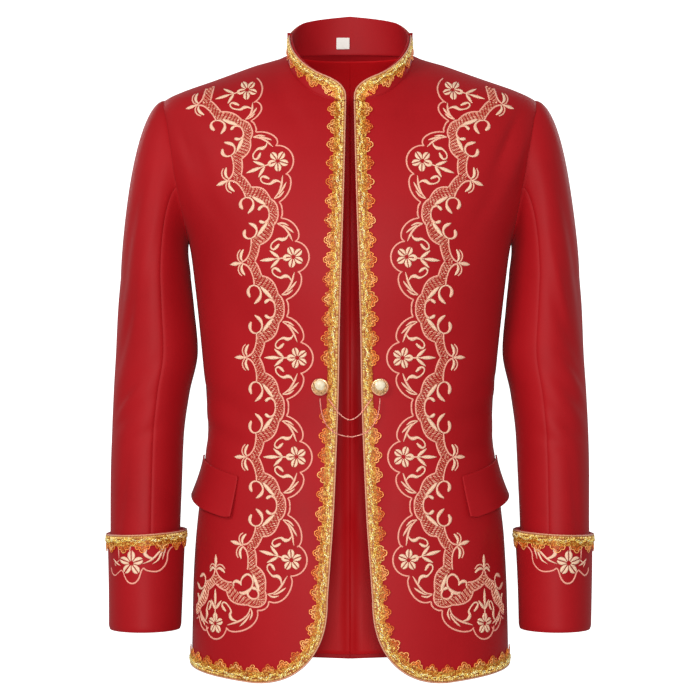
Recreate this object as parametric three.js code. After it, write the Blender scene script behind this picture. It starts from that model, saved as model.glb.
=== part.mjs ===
// A court coat: a hollow, worn jacket with a stand collar, two-piece sleeves with
// turned-back cuffs, pocket flaps, picot braid and a two-button chain fastening.
// Millimetres, +Z up, the wearer faces -Y and the wearer's left is +X. The origin is
// the middle of the neck, level with the side-neck points.
// Every cloth piece is a wall between an outer grid of points on the coat's form and
// the same grid moved in by the cloth's thickness.
import * as THREE from "three";

// ---------------------------------------------------------------- cloth and seams
const WALL = 2; // satin with its interlining and facing
const LINING_WALL = 1;
const LABEL_WALL = 1;
const SEAM = 0.3; // between pieces that are sewn together
const SEAT = 0.7; // under a piece sewn onto a curved face, whose facets differ from its own
const SIDE_SEAM_ANGLE = Math.PI / 2; // of a ring: 0 is centre front, PI is centre back

/** A short table with named columns, read between its rows by a monotone cubic. */
class Table {
  constructor(names, rows) {
    this.names = names;
    this.rows = rows;
    this.slopes = names.map((_, column) => monotoneSlopes(rows, column));
  }

  at(name, key) {
    const { rows } = this;
    const column = this.names.indexOf(name);
    const held = THREE.MathUtils.clamp(key, rows[0][0], rows.at(-1)[0]);
    let i = 0;
    while (i < rows.length - 2 && rows[i + 1][0] < held) i++;
    const step = rows[i + 1][0] - rows[i][0];
    const u = (held - rows[i][0]) / step;
    const rise = this.slopes[column][i] * step;
    const fall = this.slopes[column][i + 1] * step;
    return (
      (1 + 2 * u) * (1 - u) ** 2 * rows[i][column] +
      u * (1 - u) ** 2 * rise +
      u * u * (3 - 2 * u) * rows[i + 1][column] +
      u * u * (u - 1) * fall
    );
  }
}

function monotoneSlopes(rows, column) {
  const secants = rows
    .slice(1)
    .map((row, i) => (row[column] - rows[i][column]) / (row[0] - rows[i][0]));
  return rows.map((_, i) => {
    const before = secants[i - 1] ?? secants[i];
    const after = secants[i] ?? secants[i - 1];
    return before * after > 0 ? (2 * before * after) / (before + after) : 0;
  });
}

// ---------------------------------------------------------------- the body's form
// Level rings. half is half the width, front and back are depths from the side seam,
// square is the ring's exponent: 2 is an ellipse, more is squarer.
const BODY = new Table(
  ["z", "half", "front", "back", "square"],
  [
    [-740, 186.5, 131, 132, 2.35],
    [-638, 185, 129, 130, 2.35],
    [-568, 181.5, 125, 125, 2.3],
    [-523, 177, 121, 119, 2.3],
    [-472, 170.5, 116, 111, 2.3],
    [-440, 168, 114, 108, 2.3],
    [-409, 169.5, 115, 107, 2.3],
    [-350, 174, 121, 111, 2.35],
    [-261, 184, 130, 123, 2.4],
    [-222, 190, 129, 127, 2.4],
    [-190, 203, 126, 128, 2.4],
    [-165, 214, 122, 127, 2.4],
    [-135, 225, 115.5, 124, 2.4],
    [-107, 230, 107, 119, 2.4],
    [-90, 231, 101, 115, 2.35],
    [-72, 229, 93, 110, 2.3],
    [-62, 224, 88, 107, 2.3],
    [-54, 217, 83, 104, 2.3],
    [-46, 201.4, 77.5, 100, 2.25],
    [-30, 157, 64, 93, 2.2],
    [-15, 115.5, 45, 84, 2.2],
    [0, 74, 25, 72, 2.2],
    [5, 73, 22, 67, 2.2],
    [10, 70, 20, 62, 2.2],
  ],
);

// reach is how far forward and back the armhole goes. tuck, in radians, keeps a point
// between two seam points off the sleeve's straight run.
const ARMHOLE = { top: -54, bottom: -222, middleY: 3, reach: 60, tuck: 0.006 };
const NECK = { half: 74, frontDrop: 63, backRise: 10, frontGap: 4.5 };
const HEM = { front: -726, side: -713.5, back: -727.5 };
// The rounded corner at the foot of each front edge.
const CORNER = { width: 85, height: 96, power: 0.87 };
const CORNER_TOP = HEM.front + CORNER.height;
const SKIRT_TOP = -590; // rows bend towards the hem below this level

// Half the opening between the two front edges.
const FRONT_EDGE = new Table(
  ["z", "gap"],
  [
    [CORNER_TOP, 25],
    [-585, 21.7],
    [-540, 18.6],
    [-472, 15.5],
    [-388, 12.6],
    [-337, 11.8],
    [-133, 6],
    [-NECK.frontDrop, NECK.frontGap],
  ],
);

// Soft drag folds pressed into the walls, in a view from the front or the back. x is
// outwards from the middle, slant is degrees from upright, depth is inwards.
const BODY_FOLDS = [
  { side: 1, face: -1, x: 178, z: -118, slant: 24, long: 42, wide: 9, depth: 2.4 },
  { side: -1, face: -1, x: 174, z: -128, slant: 20, long: 38, wide: 9, depth: 1.8 },
  { side: 1, face: -1, x: 80, z: -52, slant: 12, long: 34, wide: 12, depth: 2.0 },
  { side: -1, face: -1, x: 80, z: -52, slant: 12, long: 34, wide: 12, depth: 2.0 },
  { side: 1, face: -1, x: 150, z: -420, slant: 68, long: 46, wide: 12, depth: 2.2 },
  { side: -1, face: -1, x: 148, z: -408, slant: 64, long: 42, wide: 12, depth: 2.2 },
  { side: 1, face: 1, x: 150, z: -150, slant: 22, long: 60, wide: 12, depth: 2.6 },
  { side: -1, face: 1, x: 146, z: -160, slant: 18, long: 52, wide: 12, depth: 2.2 },
  { side: 1, face: 1, x: 96, z: -430, slant: 72, long: 60, wide: 13, depth: 2.4 },
  { side: -1, face: 1, x: 104, z: -414, slant: 66, long: 54, wide: 13, depth: 2.4 },
];

function trough(across, along, fold) {
  const slant = THREE.MathUtils.degToRad(fold.slant);
  const beside = across * Math.cos(slant) - along * Math.sin(slant);
  const down = across * Math.sin(slant) + along * Math.cos(slant);
  return fold.depth * Math.exp(-((beside / fold.wide) ** 2) - (down / fold.long) ** 2);
}

function ringPoint(angle, z) {
  const power = 2 / BODY.at("square", z);
  const cos = Math.cos(angle);
  const depth = BODY.at(cos > 0 ? "front" : "back", z);
  const x = BODY.at("half", z) * Math.max(0, Math.sin(angle)) ** power;
  return new THREE.Vector3(x, -Math.sign(cos) * depth * Math.abs(cos) ** power, z);
}

function angleAtX(x, z, face = -1) {
  const share = Math.min(1, x / BODY.at("half", z));
  const angle = Math.asin(share ** (BODY.at("square", z) / 2));
  return face < 0 ? angle : Math.PI - angle;
}

function angleAtY(y, z) {
  const share = Math.min(1, Math.abs(y) / BODY.at(y < 0 ? "front" : "back", z));
  const angle = Math.acos(share ** (BODY.at("square", z) / 2));
  return y < 0 ? angle : Math.PI - angle;
}

/** How far out a point is: 1 on the form, more outside it. */
function reach(p) {
  const square = BODY.at("square", p.z);
  const depth = BODY.at(p.y < 0 ? "front" : "back", p.z);
  return (Math.abs(p.x) / BODY.at("half", p.z)) ** square + (Math.abs(p.y) / depth) ** square;
}

function bodyNormal(p) {
  const step = 0.5;
  const slope = (axis) => {
    const ahead = p.clone();
    const behind = p.clone();
    ahead[axis] += step;
    behind[axis] -= step;
    return reach(ahead) - reach(behind);
  };
  return new THREE.Vector3(slope("x"), slope("y"), slope("z")).normalize();
}

/** A point on the form moved out (or in, below 0), with the drag folds pressed in. */
function onBody(angle, z, out, side) {
  const p = ringPoint(angle, z);
  const face = Math.sign(p.y) || -1;
  const folds = BODY_FOLDS.filter((fold) => fold.side === side && fold.face === face);
  const pressed = folds.reduce((sum, fold) => sum + trough(p.x - fold.x, p.z - fold.z, fold), 0);
  return p.addScaledVector(bodyNormal(p), out - pressed);
}

// ---------------------------------------------------------------- grids and walls
const steps = (count) => Array.from({ length: count + 1 }, (_, i) => i / count);
const lerp = THREE.MathUtils.lerp;
const mirrored = (p, side) => new THREE.Vector3(side * p.x, p.y, p.z);

/** A closed wall between two grids of points; ring joins each row's ends. */
function wall(outer, inner, { ring = false } = {}) {
  const rows = outer.length;
  const columns = outer[0].length;
  const points = [...outer.flat(), ...inner.flat()];
  const index = (layer, i, j) => layer * rows * columns + i * columns + (j % columns);
  const triangles = [];
  const quad = (a, b, c, d) => triangles.push([a, b, c], [a, c, d]);
  const last = ring ? columns : columns - 1;
  for (let i = 0; i < rows - 1; i++) {
    for (let j = 0; j < last; j++) {
      quad(index(0, i, j), index(0, i, j + 1), index(0, i + 1, j + 1), index(0, i + 1, j));
      quad(index(1, i, j), index(1, i + 1, j), index(1, i + 1, j + 1), index(1, i, j + 1));
    }
  }
  const rim = (a, b) => quad(index(0, ...a), index(1, ...a), index(1, ...b), index(0, ...b));
  for (let j = 0; j < last; j++) {
    rim([0, j], [0, j + 1]);
    rim([rows - 1, j + 1], [rows - 1, j]);
  }
  for (let i = 0; i < rows - 1 && !ring; i++) {
    rim([i + 1, 0], [i, 0]);
    rim([i, columns - 1], [i + 1, columns - 1]);
  }
  return facingOut(points, triangles);
}

/** A geometry whose triangles are turned so that the solid holds a positive volume. */
function facingOut(points, triangles) {
  const volume = triangles.reduce((sum, [a, b, c]) => {
    const normal = new THREE.Vector3().crossVectors(points[b], points[c]);
    return sum + points[a].dot(normal);
  }, 0);
  const order = volume > 0 ? ([a, b, c]) => [a, b, c] : ([a, b, c]) => [a, c, b];
  const geometry = new THREE.BufferGeometry().setFromPoints(points);
  geometry.setIndex(triangles.flatMap(order));
  geometry.computeVertexNormals();
  return geometry;
}

// ---------------------------------------------------------------- fronts and backs
const FRONT_COLUMNS = { corner: 4, rest: 6 };
const BACK_COLUMNS = 7;
const SHOULDER_LEVELS = [-2, -8, -17, -27, -37, -46];
const NECK_PIT_LEVELS = [-60.5, -NECK.frontDrop]; // follow the front of the neckline
const ARMHOLE_STEPS = 12; // from the top of the armhole to its foot
const LOWER_LEVELS = [-255, -300, -345, -385, -417, -443, -475, -515, -552, SKIRT_TOP];
const SKIRT_STEPS = 4;

const armholeLevel = (turn) =>
  (ARMHOLE.top + ARMHOLE.bottom) / 2 + ((ARMHOLE.top - ARMHOLE.bottom) / 2) * Math.cos(turn);

/** The armhole seam. turn is 0 at the shoulder, PI/2 in front and PI under the arm. */
function armholePoint(turn) {
  const z = armholeLevel(turn);
  const y = (ARMHOLE.middleY / 2) * (1 - Math.cos(turn)) - ARMHOLE.reach * Math.sin(turn);
  return ringPoint(angleAtY(y || -1e-6, z), z);
}

function neckAngle(z, face) {
  if (face < 0) {
    const turn = Math.acos(Math.min(1, -z / NECK.frontDrop));
    return angleAtX(lerp(NECK.frontGap, NECK.half, Math.sin(turn)), z);
  }
  const turn = Math.asin(Math.min(1, z / NECK.backRise));
  return angleAtX(NECK.half * Math.cos(turn), z, 1);
}

const armholeTurns = steps(ARMHOLE_STEPS).map((share) => share * Math.PI);

/** The panel's rows down to the skirt: a level and the angles at its two ends. */
function panelRows(face) {
  const seam = (z) => angleAtY((face * SEAM) / 2, z);
  const inner = (z) => {
    if (face > 0) return angleAtX(SEAM / 2, z, 1);
    return z > -NECK.frontDrop ? neckAngle(z, -1) : angleAtX(FRONT_EDGE.at("gap", z), z);
  };
  const neckRows = face < 0 ? [] : [9.4, 7, 3];
  const shoulder = [...neckRows, ...SHOULDER_LEVELS].map((z) => ({
    z,
    from: inner(z),
    to: z > 0 ? neckAngle(z, 1) : seam(z),
  }));
  const armhole = armholeTurns.slice(1, -1).map((turn) => {
    const p = armholePoint(-face * turn);
    return { z: p.z, from: inner(p.z), to: angleAtY(p.y, p.z) };
  });
  if (face < 0) {
    const [upper, under] = armhole;
    const between = NECK_PIT_LEVELS.map((z) => {
      const share = (z - upper.z) / (under.z - upper.z);
      return { z, from: inner(z), to: lerp(upper.to, under.to, share) - ARMHOLE.tuck };
    });
    armhole.splice(1, 0, ...between);
  }
  const top = { z: ARMHOLE.top, from: inner(ARMHOLE.top), to: seam(ARMHOLE.top) };
  const lower = [ARMHOLE.bottom, ...LOWER_LEVELS].map((z) => {
    return { z, from: inner(z), to: seam(z) };
  });
  return [...shoulder, top, ...armhole, ...lower];
}

/** Shares of a front row from its edge to the side seam, closer at the corner. */
function frontShares() {
  const start = angleAtX(FRONT_EDGE.at("gap", CORNER_TOP), HEM.front);
  const corner = steps(FRONT_COLUMNS.corner).map((share) => {
    const x = cornerPoint(share).x;
    return (angleAtX(x, HEM.front) - start) / (SIDE_SEAM_ANGLE - start);
  });
  const rest = steps(FRONT_COLUMNS.rest).slice(1);
  return [...corner, ...rest.map((share) => lerp(corner.at(-1), 1, share))];
}

/** The rounded corner in a front view, from the edge (0) to the hem (1). */
function cornerPoint(share) {
  const turn = (share * Math.PI) / 2;
  const { width, height, power } = CORNER;
  return {
    x: FRONT_EDGE.at("gap", CORNER_TOP) + width * (1 - Math.max(0, Math.cos(turn)) ** power),
    z: HEM.front + height * (1 - Math.sin(turn) ** power),
  };
}

function panel(face, side, out) {
  const shares = face < 0 ? frontShares() : steps(BACK_COLUMNS);
  const rows = panelRows(face);
  const grid = rows.map(({ z, from, to }) =>
    shares.map((share) => mirrored(onBody(lerp(from, to, share), z, out, side), side)),
  );
  const last = rows.at(-1);
  const hem = shares.map((share, j) => {
    if (face > 0) return lerp(HEM.back, HEM.side, share);
    const corner = FRONT_COLUMNS.corner;
    if (j <= corner) return cornerPoint(j / corner).z;
    return lerp(HEM.front, HEM.side, (share - shares[corner]) / (1 - shares[corner]));
  });
  steps(SKIRT_STEPS)
    .slice(1)
    .forEach((down) => {
      grid.push(
        shares.map((share, j) => {
          const z = lerp(last.z, hem[j], down);
          const from = face < 0 ? angleAtX(FRONT_EDGE.at("gap", z), z) : angleAtX(SEAM / 2, z, 1);
          const to = angleAtY((face * SEAM) / 2, z);
          return mirrored(onBody(lerp(from, to, share), z, out, side), side);
        }),
      );
    });
  return grid;
}

const bodyPanel = (face, side) => wall(panel(face, side, 0), panel(face, side, -WALL));

// ---------------------------------------------------------------- back lining
const LINING = { columns: 5, firstRow: 1, endRows: 1 }; // of the back's own columns and rows

/** A half of the lining: its back's points, moved in. */
function backLining(side) {
  const grid = (depth) =>
    panel(1, side, -depth)
      .slice(LINING.firstRow, -LINING.endRows)
      .map((row) => row.slice(0, LINING.columns + 1));
  return wall(grid(WALL + SEAM), grid(WALL + SEAM + LINING_WALL));
}

// ---------------------------------------------------------------- stand collar
const COLLAR = {
  wall: 2.4,
  columns: 18,
  rows: 2,
  frontStep: 5, // its height at the very front
  cornerColumns: 5,
  cornerLength: 26,
  cornerPower: 2.2,
};
// around is 0 at the front edge, 0.5 at the side of the neck and 1 at the centre back.
const COLLAR_SHAPE = new Table(
  ["around", "height", "lean"],
  [
    [0, 25, 1],
    [0.25, 27, 2],
    [0.5, 24, 4],
    [0.72, 36, 4],
    [1, 42, 3],
  ],
);

function neckPoint(around) {
  if (around <= 0.5) {
    const turn = around * Math.PI;
    const z = -NECK.frontDrop * Math.cos(turn);
    return ringPoint(angleAtX(lerp(NECK.frontGap, NECK.half, Math.sin(turn)), z), z);
  }
  const turn = (around - 0.5) * Math.PI;
  const z = NECK.backRise * Math.sin(turn);
  return ringPoint(angleAtX(NECK.half * Math.cos(turn), z, 1), z);
}

/** From a length along the neck seam to its place around the neck. */
const neckRuns = (() => {
  const fine = steps(80).map((share) => share ** 1.4);
  let run = 0;
  const rows = fine.map((around, i) => {
    run += i ? neckPoint(around).distanceTo(neckPoint(fine[i - 1])) : 0;
    return [run, around];
  });
  return new Table(["run", "around"], rows);
})();
const NECK_RUN = neckRuns.rows.at(-1)[0];

/** Height of the collar, rounded off towards its front edge. */
function collarHeight(around) {
  const full = COLLAR_SHAPE.at("height", around);
  const past = (neckPoint(around).x - NECK.frontGap) / COLLAR.cornerLength;
  if (around > 0.5 || past > 1) return full;
  const { frontStep, cornerPower } = COLLAR;
  const curve = (1 - (1 - past) ** cornerPower) ** (1 / cornerPower);
  return frontStep + (full - frontStep) * curve;
}

/** A point on the collar, up from its seam and out from its outer face. */
function onCollar(around, up, out) {
  const base = neckPoint(around);
  const step = 0.004;
  const along = neckPoint(Math.min(1, around + step)).sub(neckPoint(Math.max(0, around - step)));
  const outward = new THREE.Vector3(along.y, -along.x, 0).normalize();
  const full = COLLAR_SHAPE.at("height", around);
  const lean = COLLAR_SHAPE.at("lean", around) * (up / full);
  return base.addScaledVector(outward, out - lean).add(new THREE.Vector3(0, 0, up));
}

function collarStations() {
  const corner = steps(COLLAR.cornerColumns).map((share) => COLLAR.cornerLength * share ** 1.6);
  const rest = steps(COLLAR.columns).slice(1);
  const runs = [...corner, ...rest.map((share) => lerp(corner.at(-1), NECK_RUN, share))];
  const half = runs.map((run) => neckRuns.at("around", run));
  const right = half.map((around) => ({ around, side: -1 }));
  const left = half.slice(0, -1).map((around) => ({ around, side: 1 }));
  return [...right, ...left.reverse()];
}

function collar() {
  const grid = (out) =>
    steps(COLLAR.rows).map((rise) =>
      collarStations().map(({ around, side }) =>
        mirrored(onCollar(around, lerp(SEAT, collarHeight(around), rise), out), side),
      ),
    );
  return wall(grid(0), grid(-COLLAR.wall));
}

// ---------------------------------------------------------------- neck label
const LABEL = { left: -16.5, right: -1, low: 4, high: 17, steps: 2 };

function neckLabel() {
  const aroundAt = (x) => 1 - Math.asin(Math.abs(x) / NECK.half) / Math.PI;
  const grid = (depth) =>
    [LABEL.low, LABEL.high].map((up) =>
      steps(LABEL.steps).map((share) => {
        const x = lerp(LABEL.left, LABEL.right, share);
        return mirrored(onCollar(aroundAt(x), up, -COLLAR.wall - depth), -1);
      }),
    );
  return wall(grid(SEAT), grid(SEAT + LABEL_WALL));
}

// ---------------------------------------------------------------- sleeves
const SLEEVE_TOP = -262; // level rings from here down
const SLEEVE_END = -669.5;
// inner and outer are distances from the middle of the coat; forward is towards the
// wearer's front.
const SLEEVE = new Table(
  ["z", "inner", "outer", "forward", "depth"],
  [
    [-700, 199.5, 279, 30, 51],
    [-640, 199.5, 279.5, 26, 52],
    [-560, 199, 280.5, 19, 55],
    [-500, 197.5, 280.5, 13, 58],
    [-450, 195.5, 280, 8, 61],
    [-400, 189, 278.5, 4, 65],
    [-350, 179.5, 275.5, 1, 68],
    [-300, 184, 273, -1, 71],
    [SLEEVE_TOP, 188, 270, -2, 73],
  ],
);
const SLEEVE_HEAD = {
  steps: 6,
  gap: 0.42, // from the armhole's edge
  top: { leave: [100, 0, 6], arrive: 150 },
  under: { leave: [8, 0, -28], arrive: 36 },
  swell: 22, // outwards in front and behind as it leaves the armhole
  drop: 42,
};
const SLEEVE_LEVELS = [-300, -345, -390, -430, -475, -530, -600, SLEEVE_END];
const SLEEVE_SIDES = 24;
const TOP_SLEEVE_SIDES = 14; // the rest are the under sleeve's
// turn is round the sleeve in degrees: 0 outside, 90 in front, 270 behind.
const SLEEVE_FOLDS = [
  { side: 1, turn: 62, z: -396, slant: 58, long: 44, wide: 11, depth: 2.6 },
  { side: 1, turn: 74, z: -430, slant: 66, long: 40, wide: 10, depth: 2.4 },
  { side: 1, turn: 58, z: -330, slant: 36, long: 56, wide: 12, depth: 2.0 },
  { side: -1, turn: 66, z: -384, slant: 60, long: 42, wide: 11, depth: 2.6 },
  { side: -1, turn: 60, z: -424, slant: 68, long: 44, wide: 10, depth: 2.2 },
  { side: -1, turn: 52, z: -316, slant: 30, long: 60, wide: 12, depth: 2.0 },
  { side: 1, turn: 292, z: -404, slant: -60, long: 44, wide: 12, depth: 2.4 },
  { side: -1, turn: 296, z: -392, slant: -58, long: 46, wide: 12, depth: 2.4 },
];

function sleeveRing(turn, z, spread = 0) {
  const inner = SLEEVE.at("inner", z);
  const outer = SLEEVE.at("outer", z);
  const half = (outer - inner) / 2 + spread;
  const depth = SLEEVE.at("depth", z) + spread;
  const x = (outer + inner) / 2 + half * Math.cos(turn);
  return new THREE.Vector3(x, -SLEEVE.at("forward", z) - depth * Math.sin(turn), z);
}

/** The sleeve head's curve from the armhole to the first level ring. */
function sleeveHead(turn, share) {
  const start = armholePoint(turn).add(new THREE.Vector3(SLEEVE_HEAD.gap, 0, 0));
  const end = sleeveRing(turn, SLEEVE_TOP);
  const high = (1 + Math.cos(turn)) / 2;
  const [under, top] = [SLEEVE_HEAD.under, SLEEVE_HEAD.top];
  const leave = new THREE.Vector3(...under.leave).lerp(new THREE.Vector3(...top.leave), high);
  leave.y -= SLEEVE_HEAD.swell * Math.sin(turn);
  leave.z -= SLEEVE_HEAD.drop * Math.abs(Math.sin(turn));
  const arrive = new THREE.Vector3(0, 0, -lerp(under.arrive, top.arrive, high));
  const [u, v] = [share, 1 - share];
  return start
    .multiplyScalar((1 + 2 * u) * v * v)
    .addScaledVector(leave, u * v * v)
    .addScaledVector(end, u * u * (3 - 2 * u))
    .addScaledVector(arrive, -u * u * v);
}

/** run counts rows: up to SLEEVE_HEAD.steps in the head, then the level rings. */
function sleevePoint(turn, run) {
  if (run <= SLEEVE_HEAD.steps) return sleeveHead(turn, run / SLEEVE_HEAD.steps);
  const levels = [SLEEVE_TOP, ...SLEEVE_LEVELS];
  const past = Math.min(run - SLEEVE_HEAD.steps, SLEEVE_LEVELS.length);
  const i = Math.min(Math.floor(past), SLEEVE_LEVELS.length - 1);
  return sleeveRing(turn, lerp(levels[i], levels[i + 1], past - i));
}

function onSleeve(turn, run, out, side) {
  const p = sleevePoint(turn, run);
  const step = 0.02;
  const round = sleevePoint(turn + step, run).sub(sleevePoint(turn - step, run));
  const rows = SLEEVE_HEAD.steps + SLEEVE_LEVELS.length;
  const down = sleevePoint(turn, Math.min(rows, run + step)).sub(
    sleevePoint(turn, Math.max(0, run - step)),
  );
  const normal = round.cross(down).normalize();
  const radius = SLEEVE.at("depth", SLEEVE_TOP);
  const pressed = SLEEVE_FOLDS.filter((fold) => fold.side === side).reduce((sum, fold) => {
    const past = turn - THREE.MathUtils.degToRad(fold.turn) + Math.PI;
    const apart = THREE.MathUtils.euclideanModulo(past, 2 * Math.PI) - Math.PI;
    return sum + trough(apart * radius, p.z - fold.z, fold);
  }, 0);
  return mirrored(p.addScaledVector(normal, out - pressed), side);
}

/** Part of the sleeve's tube, from one of its sides to another. */
function sleevePiece(firstSide, sides, side) {
  const trim = SEAM / 2 / SLEEVE.at("depth", SLEEVE_END);
  const rows = SLEEVE_HEAD.steps + SLEEVE_LEVELS.length;
  const grid = (out) =>
    Array.from({ length: rows + 1 }, (_, run) =>
      Array.from({ length: sides + 1 }, (_, j) => {
        const inset = j === 0 ? trim : j === sides ? -trim : 0;
        const turn = ((firstSide + j) * 2 * Math.PI) / SLEEVE_SIDES + inset;
        return onSleeve(turn, run, out, side);
      }),
    );
  return wall(grid(0), grid(-WALL));
}

const topSleeve = (side) => sleevePiece(-TOP_SLEEVE_SIDES / 2, TOP_SLEEVE_SIDES, side);
const underSleeve = (side) =>
  sleevePiece(TOP_SLEEVE_SIDES / 2, SLEEVE_SIDES - TOP_SLEEVE_SIDES, side);

// ---------------------------------------------------------------- cuffs
// The top edge is topRise higher on the side next to the body. It stands off the sleeve,
// and innerStand more there.
const CUFF = {
  sides: 24,
  rows: 3,
  top: -560,
  bottom: -672.5,
  topRise: 5,
  stand: 1.2,
  innerStand: 1.4,
  flare: 1.5,
};

/** Room between the sleeve's face and the cuff's inner face. */
const cuffRoom = (share) => lerp(SEAM, CUFF.stand, share ** CUFF.flare);

/** A point on the cuff's outer face: up is 0 at its fold and 1 at its top edge. */
function onCuff(turn, up, out, side) {
  const top = CUFF.top - (CUFF.topRise / 2) * Math.cos(turn);
  const z = lerp(CUFF.bottom, top, up);
  const inside = CUFF.innerStand * (1 - Math.cos(turn)) * up;
  const p = sleeveRing(turn, z, cuffRoom(up) + WALL + inside + out);
  return mirrored(p, side);
}

function cuff(side) {
  const grid = (out) =>
    steps(CUFF.rows).map((up) =>
      steps(CUFF.sides)
        .slice(0, -1)
        .map((share) => onCuff(share * 2 * Math.PI, up, out, side)),
    );
  return wall(grid(0), grid(-WALL), { ring: true });
}

// ---------------------------------------------------------------- pocket flaps
const FLAP = {
  frontX: 128,
  sideY: -2,
  topFront: -493,
  topSide: -472,
  height: 48,
  rake: 7,
  columns: 6,
  rows: 3,
};
// How far the flap's free edge stands off the front.
const FLAP_STAND = { front: 3.5, side: 8.5, flare: 1.6 };

function pocketFlap(side) {
  const grid = (out) =>
    steps(FLAP.rows).map((down) =>
      steps(FLAP.columns).map((along) => {
        const z = lerp(FLAP.topFront, FLAP.topSide, along) - FLAP.height * down;
        const from = angleAtX(FLAP.frontX + FLAP.rake * down, z);
        const to = angleAtY(FLAP.sideY, z);
        const free = lerp(FLAP_STAND.front, FLAP_STAND.side, along);
        const stand = free * down ** FLAP_STAND.flare;
        return mirrored(onBody(lerp(from, to, along), z, SEAT + stand + out, side), side);
      }),
    );
  return wall(grid(WALL), grid(0));
}

// ---------------------------------------------------------------- picot braid
const BRAID = { core: 13, picot: 8.5, pitch: 22.5, wall: 1.5, stations: 3, cuffPicots: 14 };

/** Width of the braid at a station: a valley, then the two shoulders of a fan. */
const braidWidth = (station) =>
  station % BRAID.stations === 0 ? BRAID.core : BRAID.core + BRAID.picot;

/** Points at an even spacing along a line, a whole number of picots in all. */
function evenStations(line) {
  const lengths = [0];
  line.slice(1).forEach((p, i) => lengths.push(lengths[i] + p.distanceTo(line[i])));
  const picots = Math.round(lengths.at(-1) / BRAID.pitch);
  return steps(picots * BRAID.stations).map((share) => {
    const want = share * lengths.at(-1);
    let i = 0;
    while (i < lengths.length - 2 && lengths[i + 1] < want) i++;
    const part = (want - lengths[i]) / (lengths[i + 1] - lengths[i]);
    return line[i].clone().lerp(line[i + 1], part);
  });
}

/** Puts a point back on the body's form without changing its level. */
function settled(p, out, side) {
  const deep = BODY.at("front", p.z);
  const angle = -p.y > deep / 2 ? angleAtX(p.x, p.z) : angleAtY(p.y, p.z);
  return mirrored(onBody(angle, p.z, out, side), side);
}

function frontEdgeLine() {
  const fine = 48;
  const start = -NECK.frontDrop - 2 * SEAM;
  const edge = steps(fine).map((share) => {
    const z = lerp(start, CORNER_TOP, share);
    return ringPoint(angleAtX(FRONT_EDGE.at("gap", z), z), z);
  });
  const corner = steps(fine).map((share) => {
    const { x, z } = cornerPoint(share);
    return ringPoint(angleAtX(x, z), z);
  });
  const from = angleAtX(cornerPoint(1).x, HEM.front);
  const hem = steps(fine).map((share) => {
    const z = lerp(HEM.front, HEM.side, share);
    return ringPoint(lerp(from, angleAtY(-1, z), share), z);
  });
  return [...edge, ...corner.slice(1), ...hem.slice(1)];
}

const BUTTON = { x: 33.7, z: -389.5, radius: 10, clear: 13 };

function frontBraid(side) {
  const line = evenStations(frontEdgeLine());
  const grid = (out) =>
    line.map((p, i) => {
      const along = (line[i + 1] ?? p).clone().sub(line[i - 1] ?? p);
      const inward = bodyNormal(p).cross(along).normalize();
      const nearButton = Math.abs(p.z - BUTTON.z) < BUTTON.clear;
      const width = nearButton ? BRAID.core : braidWidth(i);
      const inner = p.clone().addScaledVector(inward, width);
      return [settled(p, out, side), settled(inner, out, side)];
    });
  return wall(grid(SEAT + BRAID.wall), grid(SEAT));
}

function collarBraid() {
  // The collar laid flat: x runs along its seam and y is the height above it.
  const flat = neckRuns.rows.map(([run, around]) => [run, collarHeight(around)]);
  const outline = [[0, SEAT], ...flat].map(([x, y]) => new THREE.Vector3(x, y, 0));
  const line = evenStations(outline);
  const grid = (out) => {
    const rows = line.map((p, i) => {
      const along = (line[i + 1] ?? p).clone().sub(line[i - 1] ?? p);
      if (i === line.length - 1) along.set(1, 0, 0);
      const inward = new THREE.Vector3(along.y, -along.x, 0).normalize();
      const inner = p.clone().addScaledVector(inward, braidWidth(i));
      const place = (q) => onCollar(neckRuns.at("around", q.x), Math.max(SEAT, q.y), out);
      return [place(p), place(inner)];
    });
    const right = rows.map((row) => row.map((p) => mirrored(p, -1)));
    return [...right, ...rows.slice(0, -1).reverse()];
  };
  return wall(grid(SEAT + BRAID.wall), grid(SEAT));
}

function cuffBraid(side) {
  const drop = CUFF.top - CUFF.bottom;
  const grid = (out) =>
    [0, 1].map((inner) =>
      steps(BRAID.cuffPicots * BRAID.stations)
        .slice(0, -1)
        .map((share, i) => {
          const up = 1 - (inner * braidWidth(i)) / drop;
          return onCuff(share * 2 * Math.PI, up, out, side);
        }),
    );
  return wall(grid(SEAT + BRAID.wall), grid(SEAT), { ring: true });
}

// ---------------------------------------------------------------- buttons and chains
const BUTTON_PROFILE = [
  [0, SEAT],
  [3.5, SEAT],
  [3.5, 2.4],
  [9, 2.6],
  [BUTTON.radius, 3.6],
  [9.4, 4.8],
  [7.2, 4.6],
  [6.4, 6.4],
  [4.2, 8],
  [0, 8.8],
];
const BUTTON_SIDES = 14;

function buttonGeometry() {
  const points = BUTTON_PROFILE.map(([radius, height]) => new THREE.Vector2(radius, height));
  return new THREE.LatheGeometry(points, BUTTON_SIDES);
}

function placeButton(mesh, side) {
  const seat = ringPoint(angleAtX(BUTTON.x, BUTTON.z), BUTTON.z);
  const normal = mirrored(bodyNormal(seat), side);
  mesh.position.copy(mirrored(seat, side));
  mesh.quaternion.setFromUnitVectors(new THREE.Vector3(0, 1, 0), normal);
}

const CHAIN = { radius: 0.9, sides: 8, steps: 24 };
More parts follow.
